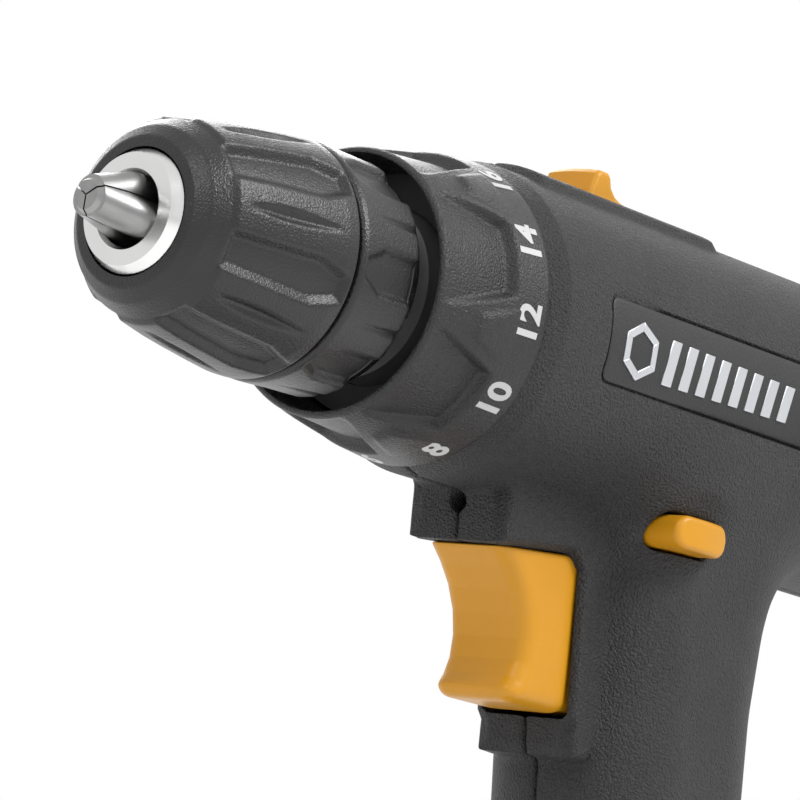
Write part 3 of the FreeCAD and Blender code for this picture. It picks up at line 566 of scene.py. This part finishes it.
def ease(field):
    """Each value averaged with its neighbours along the rows' direction."""
    padded = np.pad(field, ((1, 1), (0, 0)), mode="edge")
    return (padded[:-2] + 2 * padded[1:-1] + padded[2:]) / 4


def sector(outside, inside, relief, first, count, step):
    """One sector as points about the axis, in metres, and its quads. Relief takes (s, offset) arrays."""
    rows = np.concatenate((outside, np.array(inside, float)))
    period = 360.0 / count
    columns = int(math.radians(period) * outside[:, 1].max() / step) + 1
    offsets = np.linspace(-period / 2, period / 2, columns)
    s, degrees = np.meshgrid(rows[:, 0], offsets, indexing="ij")
    radius = np.repeat(rows[:, 1:], columns, 1)
    depth = relief(s, np.radians(degrees) * radius)
    depth[len(outside):] = 0
    for _ in range(2):
        depth = ease(ease(depth).T).T
    radius = radius - depth
    a = np.radians(degrees + first)
    points = np.stack((SEAM_X + s * MM, -radius * np.cos(a) * MM, radius * np.sin(a) * MM), -1).reshape(-1, 3)
    quads = []
    for row in range(len(rows)):
        after = (row + 1) % len(rows)
        for column in range(columns - 1):
            quads.append((row * columns + column, after * columns + column,
                          after * columns + column + 1, row * columns + column + 1))
    return points, quads


def groove(s, offset, corners, depth, bevel):
    """Relief that sinks inside an outline, with sloping walls."""
    return depth * np.clip(-outline(s, offset, corners) / bevel, 0, 1)


# %% The tree that turns a sector into a whole part
def turned_copies_tree():
    tree = bpy.data.node_groups.new("sectors_round_the_barrel", "GeometryNodeTree")
    tree.interface.new_socket("Sector", in_out="INPUT", socket_type="NodeSocketGeometry")
    for label, kind in (("Count", "NodeSocketInt"), ("Axis height", "NodeSocketFloat"),
                        ("Weld distance", "NodeSocketFloat"), ("Finish", "NodeSocketMaterial")):
        tree.interface.new_socket(label, in_out="INPUT", socket_type=kind)
    tree.interface.new_socket("Whole part", in_out="OUTPUT", socket_type="NodeSocketGeometry")
    new, join = tree.nodes.new, tree.links.new
    given, made = new("NodeGroupInput"), new("NodeGroupOutput")
    height, spots = new("ShaderNodeCombineXYZ"), new("GeometryNodePoints")
    join(given.outputs["Axis height"], height.inputs["Z"])
    join(given.outputs["Count"], spots.inputs["Count"])
    join(height.outputs["Vector"], spots.inputs["Position"])
    share, angle, turn = new("ShaderNodeMath"), new("ShaderNodeMath"), new("ShaderNodeCombineXYZ")
    share.operation, angle.operation = "DIVIDE", "MULTIPLY"
    share.inputs[0].default_value = 2 * math.pi
    join(given.outputs["Count"], share.inputs[1])
    join(new("GeometryNodeInputIndex").outputs["Index"], angle.inputs[0])
    join(share.outputs["Value"], angle.inputs[1])
    join(angle.outputs["Value"], turn.inputs["X"])
    copies, real = new("GeometryNodeInstanceOnPoints"), new("GeometryNodeRealizeInstances")
    join(spots.outputs["Points"], copies.inputs["Points"])
    join(given.outputs["Sector"], copies.inputs["Instance"])
    join(turn.outputs["Vector"], copies.inputs["Rotation"])
    join(copies.outputs["Instances"], real.inputs["Geometry"])
    weld, coat = new("GeometryNodeMergeByDistance"), new("GeometryNodeSetMaterial")
    join(real.outputs["Geometry"], weld.inputs["Geometry"])
    join(given.outputs["Weld distance"], weld.inputs["Distance"])
    join(weld.outputs["Geometry"], coat.inputs["Geometry"])
    join(given.outputs["Finish"], coat.inputs["Material"])
    join(coat.outputs["Geometry"], made.inputs["Whole part"])
    return tree


def bake(maker, tree, sizes, name, sharp):
    """Run a tree on an object and keep the result as a plain piece."""
    modifier = maker.modifiers.new("build", "NODES")
    modifier.node_group = tree
    for item in tree.interface.items_tree:
        if item.in_out == "INPUT" and item.name in sizes:
            modifier[item.identifier] = sizes[item.name]
    maker.update_tag()
    bpy.context.view_layer.update()
    ready = maker.evaluated_get(bpy.context.evaluated_depsgraph_get())
    mesh = bpy.data.meshes.new_from_object(ready)
    bpy.data.objects.remove(maker)
    mesh.name = name
    mesh.polygons.foreach_set("use_smooth", [True] * len(mesh.polygons))
    mesh.set_sharp_from_angle(angle=math.radians(sharp))
    piece = bpy.data.objects.new(name, mesh)
    bpy.context.scene.collection.objects.link(piece)
    print(name, len(mesh.polygons), "faces")
    return piece


SECTOR_TREE = turned_copies_tree()


def outward(points, quads):
    """The quads turned, if need be, so that a closed sector faces outwards."""
    a, b, c = (points[np.array(quads)[:, i]] for i in range(3))
    way = np.cross(b - a, c - b)
    lean = (way[:, 1:] * (a + b + c)[:, 1:]).sum()
    return quads if lean > 0 else [quad[::-1] for quad in quads]


def fluted_part(name, outside, inside, relief, first, count, step, stuff, body, node, sharp=55.0):
    points, quads = sector(outside, inside, relief, first, count, step)
    maker = piece_from(name + "_sector", points, outward(points, quads), stuff, in_barrel=False)
    sizes = {"Count": count, "Axis height": AXIS_HEIGHT, "Weld distance": 0.00002, "Finish": stuff}
    piece = bake(maker, SECTOR_TREE, sizes, name, sharp)
    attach(piece, body)
    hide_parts(node)
    return piece


# %% [markdown]
# ## The chuck's two sleeves
# The front sleeve opens and closes the jaws. Its seven troughs start behind the nose cone and end in
# a half hexagon near the seam, and between them lie narrow pointed grooves. The rear sleeve is held
# still by the other hand, so its pockets are short and open to the back.

# %% Front and rear sleeves
FLUTES = 7
TROUGH_ANGLE, POCKET_ANGLE = -16.0, -2.7
FINE = 0.24
FRONT_TROUGH = [(-24.9, 3.2), (-7, 4.0), (-1.2, 2.2), (-1.2, -2.2), (-7, -4.0), (-24.9, -3.2)]
LAND_FRONT, LAND_RISE = -24.2, 0.45
ALMOND_START, ALMOND_END, ALMOND_HALF = -22.8, -3.4, 0.95
REAR_POCKET = [(1.7, 1.7), (5.8, 3.7), (16, 3.7), (16, -3.7), (5.8, -3.7), (1.7, -1.7)]
REAR_POINT = [(2.4, 0), (16, 1.0), (16, -1.0)]


def front_relief(s, offset):
    """Troughs, the step where each land begins, and an almond groove along each land's middle."""
    local = np.interp(s, [-29.5, -24, -18.5, -8, 0], [11.5, 15.2, 16.6, 18.4, 19.0])
    from_land = math.pi / FLUTES * local - np.abs(offset)
    along = np.clip((s - ALMOND_START) / (ALMOND_END - ALMOND_START), 0, 1)
    half = ALMOND_HALF * np.sin(math.pi * along ** 0.9) + 1e-3
    almond = 0.85 * np.clip(1 - (from_land / half) ** 2, 0, 1) * np.minimum(1, half / ALMOND_HALF)
    cone = LAND_RISE * np.clip((LAND_FRONT - s) / 0.5, 0, 1)
    return groove(s, offset, FRONT_TROUGH, 1.35, 1.3) + almond + cone


def rear_relief(s, offset):
    cut = groove(s, offset, REAR_POCKET, 1.15, 0.9)
    return cut + groove(s, np.abs(offset) - math.pi / FLUTES * 18.8, REAR_POINT, 0.7, 0.8)


front_outside = round_corners(
    [(-29.5, 10.2), (-29.4, 11.9), (-27.8, 13.9), (-24.6, 15.7), (-18.5, 16.9), (-14.6, 17.5),
     (-8, 18.4), (-3, 18.95), (-0.9, 18.95), (-0.35, 18.5)], FINE, 0.6)
front_inside = [(-0.35, 17.2), (-2, 17.2), (-2, 15.6), (-9.9, 15.6), (-9.9, 15.0), (-12.8, 15.0),
                (-26.8, 9.95), (-29.5, 9.95)]
fluted_part("front_sleeve_fluted", front_outside, front_inside, front_relief, TROUGH_ANGLE, FLUTES, FINE,
            SLEEVE_BLACK, "front_sleeve", "front_sleeve")
rear_outside = round_corners([(0.35, 18.0), (0.5, 18.6), (1.4, 18.95), (13.4, 18.7), (14.2, 18.1)], FINE, 0.5)
rear_inside = [(14.2, 16.85), (0.35, 16.85)]
fluted_part("rear_sleeve_fluted", rear_outside, rear_inside, rear_relief, POCKET_ANGLE, FLUTES, FINE,
            SLEEVE_BLACK, "spindle", "rear_sleeve")

# %% [markdown]
# ## The torque ring and its figures
# Six broad teeth give the fingers a hold on the torque ring, and each carries a raised pad. Behind
# them runs the band of printed figures. The figures are text made into a mesh first, and then every
# point of it is wrapped round the ring, so that they follow the curve instead of floating on a flat.

# %% Torque ring
TEETH, TOOTH_ANGLE, RING_MEAN = 6, -12.0, 22.4
RECESS = [(17.0, 9.9), (19.3, 9.7), (31.3, 5.7), (31.3, -5.7), (19.3, -9.7), (17.0, -9.9)]
PAD = [(24.4, 1.9), (32.6, 4.6), (32.6, -4.6), (24.4, -1.9)]
TOOTH_PROFILE = [(16.5, 20.3), (16.6, 20.9), (17.1, 21.3), (19.3, 21.9), (26, 23.3), (31, 23.9),
                 (37.8, 24.55), (38.6, 24.3)]
RING_STEP = 0.26
RECESS_FLOOR = [(16.5, 21.2), (20, 21.3), (31.2, 22.1), (40, 24.3)]


def ring_relief(s, offset):
    tooth = np.interp(s, *np.array(TOOTH_PROFILE[1:]).T)
    floor = np.interp(s, *np.array(RECESS_FLOOR).T)
    angle_offset = offset / tooth * RING_MEAN
    period = math.radians(360 / TEETH) * RING_MEAN
    sunk = groove(s, np.abs(angle_offset) - period / 2, RECESS, 1.0, 0.7) * np.maximum(tooth - floor, 0)
    pad = groove(s, angle_offset, PAD, 0.45, 0.5) * np.clip((34.6 - s) / 7.0, 0, 1)
    return sunk - pad


ring_outside = round_corners(TOOTH_PROFILE, RING_STEP, 0.5)
ring_inside = [(38.6, 20.95), (34.0, 20.9), (34.0, 19.4), (22.0, 19.4), (21.0, 20.2), (16.6, 20.2)]
fluted_part("torque_ring_toothed", ring_outside, ring_inside, ring_relief, TOOTH_ANGLE, TEETH, RING_STEP,
            RING_GREY, "torque_ring", "torque_ring")

# %% Figures round the ring
FIGURE_SIZE, FIGURE_S = 6.3, 36.6
FIGURE_LOW, FIGURE_HIGH = -0.2, 0.07
FIGURE_PITCH = 15.3


def wrapped_text(words, height, s_foot, degrees):
    """Text as mesh points wrapped round the barrel, its foot towards the tail."""
    curve = bpy.data.curves.new("figure", "FONT")
    curve.body = words
    curve.size = height
    curve.align_x = "CENTER"
    curve.extrude = 1.0
    curve.offset = 0.2
    curve.resolution_u = 4
    holder = bpy.data.objects.new("figure", curve)
    bpy.context.scene.collection.objects.link(holder)
    bpy.context.view_layer.update()
    mesh = bpy.data.meshes.new_from_object(holder)
    shaper = bmesh.new()
    shaper.from_mesh(mesh)
    bmesh.ops.remove_doubles(shaper, verts=shaper.verts, dist=1e-5)
    bmesh.ops.triangulate(shaper, faces=shaper.faces)
    points, faces = [], [[corner.index for corner in face.verts] for face in shaper.faces]
    for vertex in shaper.verts:
        s = s_foot - vertex.co.y
        surface = float(np.interp(s, *np.array(TOOTH_PROFILE[1:]).T))
        lift = FIGURE_HIGH if vertex.co.z > 0 else FIGURE_LOW
        points.append(on_barrel(s, degrees + math.degrees(vertex.co.x / surface), surface + lift))
    shaper.free()
    bpy.data.objects.remove(holder)
    return points, faces


figure_points, figure_faces = [], []
for number in range(2, 20, 2):
    angle = -5.0 + FIGURE_PITCH * (number - 12)
    points, faces = wrapped_text(str(number), FIGURE_SIZE, FIGURE_S, angle)
    figure_faces += [[corner + len(figure_points) for corner in face] for face in faces]
    figure_points += points
figures = piece_from("torque_figures", figure_points, figure_faces, PRINT_WHITE, sharp=30.0, in_barrel=False)
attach(figures, "torque_ring")
print("figures:", len(figure_faces), "faces")

# %% [markdown]
# ## Trigger, speed selector and direction bar
# The controls are the drill's one bright colour. The trigger is scooped for a finger, the selector is
# a wedge with a hollow back, and the direction bar runs right through the grip with a domed end on
# each side. All three grow from distance rules on a finer grid than the housing's.

# %% Controls
SCOOP = [(55.8, -30), (56.6, -33.4), (59.8, -36.2), (62.6, -39.4), (64.6, -43.0), (65.6, -46.6),
         (65.6, -50.0), (64.8, -52.6), (63.6, -54.6), (63.4, -64), (79.6, -64), (78.2, -30)]
TRIGGER_TOP, TRIGGER_FOOT = -33.1, -56.7
TRIGGER_RISE = 0.09


def trigger_form(x, y, z):
    blade = raised(outline(x, z, SCOOP), y, 8.3, 3.0)
    blade = meet(blade, TRIGGER_FOOT - z, 3.0)
    blade = meet(blade, z - TRIGGER_TOP - TRIGGER_RISE * (x - 57), 0.6)
    stem = rounded_block(x, y, z, (68, -7.6, -56.0), (88.4, 7.6, -35.4), 1.2)
    return soften(blade, stem, 0.6)


SELECTOR = [(68.2, 22.8), (68.3, 27.0), (69.4, 30.1), (70.4, 30.85), (72.6, 30.85), (73.5, 30.1),
            (74.0, 28.6), (75.2, 27.5), (76.8, 26.9), (80.3, 26.4), (80.3, 22.8)]


def selector_form(x, y, z):
    fin = raised(outline(x, z, SELECTOR) + 0.012 * y * y, y, 5.3, 0.7)
    rail = rounded_block(x, y, z, (55.3, -5.3, 22.8), (80.3, 5.3, 25.9), 0.4)
    return soften(fin, rail, 0.8)


def bar_form(x, y, z):
    flat = rounded_rectangle(x - BAR_S, z + 25.1, 6.7, 2.7, 2.6)
    return raised(flat, np.abs(y) + 0.02 * (x - BAR_S) ** 2, 22.5, 0.9)


CONTROL_CELL = 0.4
skin("trigger_blade", trigger_form, (54, -9.5, -58.5), (90, 9.5, -30.5), CONTROL_CELL, AMBER, "trigger",
     "control_plastic", "trigger")
skin("speed_selector_wedge", selector_form, (54, -6.5, 21.5), (82, 6.5, 32.5), CONTROL_CELL, AMBER,
     "speed_selector", "control_plastic", "speed_selector")
skin("direction_bar_domed", bar_form, (81.5, -24, -29), (97.5, 24, -21), CONTROL_CELL, AMBER,
     "direction_bar", "control_plastic", "direction_bar")

# %% [markdown]
# ## The battery pack
# The pack slides on from below. Its stem goes up the grip, its body is two mouldings joined at a
# parting line, and two ribbed latches squeeze inwards to let it go.

# %% Battery cases
base_low, base_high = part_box("battery_case_lower")
BASE_HALF_LENGTH = (base_high.x - base_low.x) / 2 / MM
BASE_HALF_WIDTH = (base_high.y - base_low.y) / 2 / MM
BOTTOM, SPLIT, TOP = -AXIS_HEIGHT / MM, -174.0, -149.0
STEM_TOP = -80.0
PACK_WALL, PACK_CORNER = 3.0, 12.0
LATCH_S, LATCH_HALF, LATCH_POCKET = 108.0, 13.5, 22.2


def base_flat(x, y, inset):
    half_length, half_width = BASE_HALF_LENGTH - inset, BASE_HALF_WIDTH - inset
    return rounded_rectangle(x - BASE_MIDDLE, y, half_length, half_width, PACK_CORNER - inset)


def upper_case_form(x, y, z):
    middle, half = (SPLIT + TOP) / 2, (TOP - SPLIT) / 2
    body = raised(base_flat(x, y, 0.0), z - middle, half - 0.08, 1.0)
    body = carve(body, raised(base_flat(x, y, PACK_WALL), z - middle + 3.5, half, 1.0))
    stem_flat = rounded_rectangle(x - grip_x(z) - 0.4, y, 17.0, 12.8, 6.0)
    stem = np.maximum(stem_flat, np.maximum(z - STEM_TOP, TOP - 4 - z))
    body = soften(body, stem, 1.0)
    front, back = LATCH_S - LATCH_HALF, LATCH_S + LATCH_HALF
    window = rounded_block(x, np.abs(y), z, (front, LATCH_POCKET, SPLIT + 1.6), (back, 45, TOP - 9.6), 2.0)
    arm_slot = rounded_block(x, np.abs(y), z, (front, LATCH_POCKET, SPLIT + 4), (back, 28.6, -140), 0.6)
    return carve(carve(body, window, 0.8), arm_slot, 0.2)


def lower_case_form(x, y, z):
    middle, half = (BOTTOM + SPLIT) / 2, (SPLIT - BOTTOM) / 2
    body = raised(base_flat(x, y, 0.0), z - middle, half - 0.08, 2.2)
    body = carve(body, raised(base_flat(x, y, PACK_WALL), z - middle - 4, half, 1.0))
    for rib in range(6):
        at = BASE_MIDDLE - 40 + 16.0 * rib
        flute = rounded_rectangle(x - at, z - middle, 4.2, 6.0, 2.5)
        body = carve(body, np.maximum(flute, BASE_HALF_WIDTH - 0.9 - np.abs(y)), 1.0)
    return body


BASE_CELL = 1.0
reach_x, reach_y = BASE_HALF_LENGTH + 2, BASE_HALF_WIDTH + 2
skin("battery_upper_moulding", upper_case_form, (BASE_MIDDLE - reach_x, -reach_y, SPLIT - 2),
     (BASE_MIDDLE + reach_x, reach_y, STEM_TOP + 2), BASE_CELL, MOULDED_GREY, "battery",
     "housing_plastic", "battery_case_upper")
skin("battery_lower_moulding", lower_case_form, (BASE_MIDDLE - reach_x, -reach_y, BOTTOM - 2),
     (BASE_MIDDLE + reach_x, reach_y, SPLIT + 2), BASE_CELL, MOULDED_GREY, "battery",
     "housing_plastic", "battery_case_lower")

# %% Latches
latch_low, latch_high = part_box("latch_right")
LATCH_OUTER = max(latch_high.y, -latch_low.y) / MM
LATCH_ARM_TOP = (latch_high.z - AXIS_HEIGHT) / MM
LATCH_INNER, ARM_OUTER = 25.7, 28.0


def latch_form(side):
    """Rule for one latch: side is -1 for left, 1 for right."""
    def form(x, y, z):
        out = side * y
        front, back = LATCH_S - 12.9, LATCH_S + 12.9
        button = rounded_block(x, out, z, (front, LATCH_INNER, -172.0), (back, LATCH_OUTER, -159.2), 1.6)
        for rib in range(4):
            button = carve(button, np.hypot(out - LATCH_OUTER - 0.35, z + 169.4 - 2.6 * rib) - 0.9, 0.4)
        arm = rounded_block(x, out, z, (front, LATCH_INNER, -170.0), (back, ARM_OUTER, LATCH_ARM_TOP), 0.8)
        return soften(button, arm, 1.0)
    return form


for name in ("latch_left", "latch_right"):
    side = -1 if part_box(name)[0].y < 0 else 1
    low_y, high_y = sorted((side * 24.5, side * 38.0))
    skin(name + "_ribbed", latch_form(side), (LATCH_S - 15, low_y, -173.5),
         (LATCH_S + 15, high_y, -143.5), CONTROL_CELL, AMBER, name, "control_plastic", name)

# %% [markdown]
# ## Badge plates
# A plate follows the barrel on each side, set in a shallow tray. It carries only plain ornament: a
# hexagon ring and slanting stripes, raised and silvered. A flat drawing is bent round the barrel by
# turning its height into an angle, exactly as the figures were.

# %% Plates and ornament
PLATE_TOP, PLATE_FLOOR, PLATE_GAP = 25.15, 24.3, 0.35
RING_S, RING_RISE, RING_OUTER, RING_INNER = 61.8, -0.6, 4.7, 3.2
STRIPES, STRIPE_FIRST, STRIPE_PITCH, STRIPE_RISE = 8, 68.4, 4.5, -0.8
STRIPE_WIDE, STRIPE_LEAN = 2.5, 1.2


def bent_prism(corners, low, high, side):
    """A flat outline of (s, height) corners as a thin solid wrapped on the barrel."""
    count = len(corners)
    points, faces = [], []
    for radius in (low, high):
        for s, h in corners:
            degrees = math.degrees(h / BARREL["radius"])
            points.append(on_barrel(s, degrees if side < 0 else 180 - degrees, radius))
    for i in range(count):
        j = (i + 1) % count
        faces.append((i, j, j + count, i + count))
    return points, faces + [tuple(range(count))[::-1], tuple(range(count, 2 * count))]


def plate(side):
    """Rule for a plate that follows the barrel, a little smaller than its tray."""
    half_length, half_height = BADGE_HALF_LENGTH - PLATE_GAP, BADGE_HALF_HEIGHT - PLATE_GAP
    middle_radius, half_thick = (PLATE_TOP + PLATE_FLOOR) / 2, (PLATE_TOP - PLATE_FLOOR) / 2

    def form(x, y, z):
        arc = BARREL["radius"] * np.arctan2(z, side * y)
        flat = rounded_rectangle(x - BADGE_MIDDLE, arc, half_length, half_height, PLATE_CORNER)
        shell = raised(flat, np.hypot(y, z) - middle_radius, half_thick, 0.25)
        return np.maximum(shell, -side * y)
    return form


def ornament(side):
    """Hexagon ring and stripes, as one mesh."""
    points, faces = [], []

    def add(corners):
        order = corners if side < 0 else corners[::-1]
        more, shapes = bent_prism(order, PLATE_TOP - 0.25, PLATE_TOP + 0.3, side)
        faces.extend([tuple(corner + len(points) for corner in shape) for shape in shapes])
        points.extend(more)

    turns = [math.radians(60 * i + 30) for i in range(6)]
    for a, b in zip(turns, turns[1:] + turns[:1]):
        corners = ((RING_OUTER, a), (RING_OUTER, b), (RING_INNER, b), (RING_INNER, a))
        add([(RING_S + r * math.cos(t), RING_RISE + r * math.sin(t)) for r, t in corners])
    for i in range(STRIPES):
        start, half_height = STRIPE_FIRST + STRIPE_PITCH * i, 3.7 - 0.1 * i
        low, high = STRIPE_RISE - half_height, STRIPE_RISE + half_height
        add([(start + STRIPE_LEAN, high), (start + STRIPE_LEAN + STRIPE_WIDE, high),
             (start + STRIPE_WIDE, low), (start, low)])
    return points, faces


for side, name in ((-1, "left"), (1, "right")):
    low_y, high_y = sorted((side * 20.0, side * 27.0))
    skin("badge_plate_" + name, plate(side), (BADGE["start"] - 1, low_y, -9.2),
         (BADGE["end"] + 1, high_y, 9.2), CONTROL_CELL, PANEL_GREY, "root", "housing_plastic")
    points, faces = ornament(side)
    silver = piece_from("badge_ornament_" + name, points, faces, BADGE_SILVER, sharp=30, in_barrel=False)
    shaper = bmesh.new()
    shaper.from_mesh(silver.data)
    bmesh.ops.recalc_face_normals(shaper, faces=shaper.faces)
    bmesh.ops.bevel(shaper, geom=shaper.edges, offset=0.12 * MM, segments=2, profile=0.5, affect="EDGES")
    shaper.to_mesh(silver.data)
    shaper.free()
    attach(silver, "root")
    print("ornament", name, len(silver.data.polygons), "faces")

# %% [markdown]
# ## Case screws
# Seven screws hold the halves together. One screw is modelled with a domed head and a six-lobed
# socket, and a Geometry Nodes tree sets a copy at each place where the frame has one.

# %% One screw and its copies
SCREW_HEAD, SCREW_SOCKET, SCREW_LENGTH = 2.9, 1.25, 12.0


def screw_mesh_rows():
    """Rows of a screw about the Y axis, from the socket's floor out over the head and down the shank."""
    around = 48
    rows = [(0.0, -1.3, 0), (SCREW_SOCKET * 0.98, -1.3, 1), (SCREW_SOCKET, -0.25, 1),
            (SCREW_SOCKET + 0.15, -0.1, 1), (2.0, -0.12, 0), (2.6, -0.4, 0),
            (SCREW_HEAD - 0.05, -0.85, 0), (SCREW_HEAD - 0.05, -1.6, 0),
            (1.45, -1.7, 0), (1.45, -SCREW_LENGTH, 0), (0.0, -SCREW_LENGTH - 1.2, 0)]
    points = []
    for radius, height, lobed in rows:
        for i in range(around):
            a = 2 * math.pi * i / around
            r = radius * (1 + 0.13 * lobed * math.cos(6 * a))
            points.append((r * math.cos(a) * MM, height * MM, r * math.sin(a) * MM))
    faces = []
    for row in range(len(rows) - 1):
        for i in range(around):
            j = (i + 1) % around
            here, below = row * around, (row + 1) * around
            faces.append((here + i, here + j, below + j, below + i))
    return points, faces


def placed_copies_tree():
    tree = bpy.data.node_groups.new("screws_at_their_places", "GeometryNodeTree")
    tree.interface.new_socket("Places", in_out="INPUT", socket_type="NodeSocketGeometry")
    for label, kind in (("Screw", "NodeSocketObject"), ("Twist", "NodeSocketFloat"),
                        ("Finish", "NodeSocketMaterial")):
        tree.interface.new_socket(label, in_out="INPUT", socket_type=kind)
    tree.interface.new_socket("Screws", in_out="OUTPUT", socket_type="NodeSocketGeometry")
    new, join = tree.nodes.new, tree.links.new
    given, made, info = new("NodeGroupInput"), new("NodeGroupOutput"), new("GeometryNodeObjectInfo")
    join(given.outputs["Screw"], info.inputs["Object"])
    spots, copies = new("GeometryNodeMeshToPoints"), new("GeometryNodeInstanceOnPoints")
    join(given.outputs["Places"], spots.inputs["Mesh"])
    join(spots.outputs["Points"], copies.inputs["Points"])
    join(info.outputs["Geometry"], copies.inputs["Instance"])
    amount, turn = new("ShaderNodeMath"), new("ShaderNodeCombineXYZ")
    amount.operation = "MULTIPLY"
    join(new("GeometryNodeInputIndex").outputs["Index"], amount.inputs[0])
    join(given.outputs["Twist"], amount.inputs[1])
    join(amount.outputs["Value"], turn.inputs["Y"])
    join(turn.outputs["Vector"], copies.inputs["Rotation"])
    real, weld = new("GeometryNodeRealizeInstances"), new("GeometryNodeMergeByDistance")
    coat = new("GeometryNodeSetMaterial")
    join(copies.outputs["Instances"], real.inputs["Geometry"])
    join(real.outputs["Geometry"], weld.inputs["Geometry"])
    weld.inputs["Distance"].default_value = 1e-6
    join(weld.outputs["Geometry"], coat.inputs["Geometry"])
    join(given.outputs["Finish"], coat.inputs["Material"])
    join(coat.outputs["Geometry"], made.inputs["Screws"])
    return tree


one_points, one_faces = screw_mesh_rows()
one_screw = piece_from("one_screw", one_points, one_faces, DARK_STEEL, in_barrel=False)
shaper = bmesh.new()
shaper.from_mesh(one_screw.data)
bmesh.ops.remove_doubles(shaper, verts=shaper.verts, dist=1e-6)
bmesh.ops.recalc_face_normals(shaper, faces=shaper.faces)
shaper.to_mesh(one_screw.data)
shaper.free()
places = [(s, top, z) for (s, z), top in zip(SCREW_PLACES, screw_tops)]
spots = piece_from("screw_places", places, [], DARK_STEEL)
screw_sizes = {"Screw": one_screw, "Twist": 0.7, "Finish": DARK_STEEL}
screws = bake(spots, placed_copies_tree(), screw_sizes, "case_screws", 30)
bpy.data.objects.remove(one_screw)
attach(screws, "root")
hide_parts("housing_screws")

# %% [markdown]
# ## A pale studio
# The drill stands on a plain pale floor under soft lights: one above and to its left for the long
# highlight down the barrel, one ahead that picks out the nose, one behind for the far edges, and a
# white surround.

# %% Floor and lights
FLOOR_REACH, FLOOR_HEIGHT = 4.0, -0.0005
CORNERS = ((-1, -1), (1, -1), (1, 1), (-1, 1))
PALE_FLOOR = finish("pale_floor", (0.78, 0.78, 0.78), (0.80, 0.80, 0.80), (0.7, 0.8), blotch=60.0)
floor_mesh = bpy.data.meshes.new("studio_floor")
floor_mesh.from_pydata([(x * FLOOR_REACH, y * FLOOR_REACH, FLOOR_HEIGHT) for x, y in CORNERS], [],
                       [(0, 1, 2, 3)])
floor_mesh.materials.append(PALE_FLOOR)
floor = bpy.data.objects.new("studio_floor", floor_mesh)
bpy.context.scene.collection.objects.link(floor)

studio = bpy.data.worlds.new("white_studio")
bpy.context.scene.world = studio
studio.use_nodes = True
studio.node_tree.nodes["Background"].inputs["Color"].default_value = (1.0, 1.0, 1.0, 1.0)
studio.node_tree.nodes["Background"].inputs["Strength"].default_value = 1.0
bpy.context.scene.view_settings.view_transform = "Standard"
AIM = Vector(to_frame((60.0, 0.0, -10.0)))
LIGHTS = (
    ("high_left", (0.20, -0.75, 0.95), 0.40, 10.0),
    ("nose_fill", (-0.80, -0.20, 0.75), 0.30, 2.6),
    ("back_edge", (0.55, 0.75, 0.75), 0.6, 6.0),
)
for name, place, size, power in LIGHTS:
    light = bpy.data.lights.new(name, "AREA")
    light.size = size
    light.energy = power
    lamp = bpy.data.objects.new(name, light)
    bpy.context.scene.collection.objects.link(lamp)
    lamp.location = place
    lamp.rotation_euler = (AIM - Vector(place)).to_track_quat("-Z", "Y").to_euler()
print("lights:", len(LIGHTS))
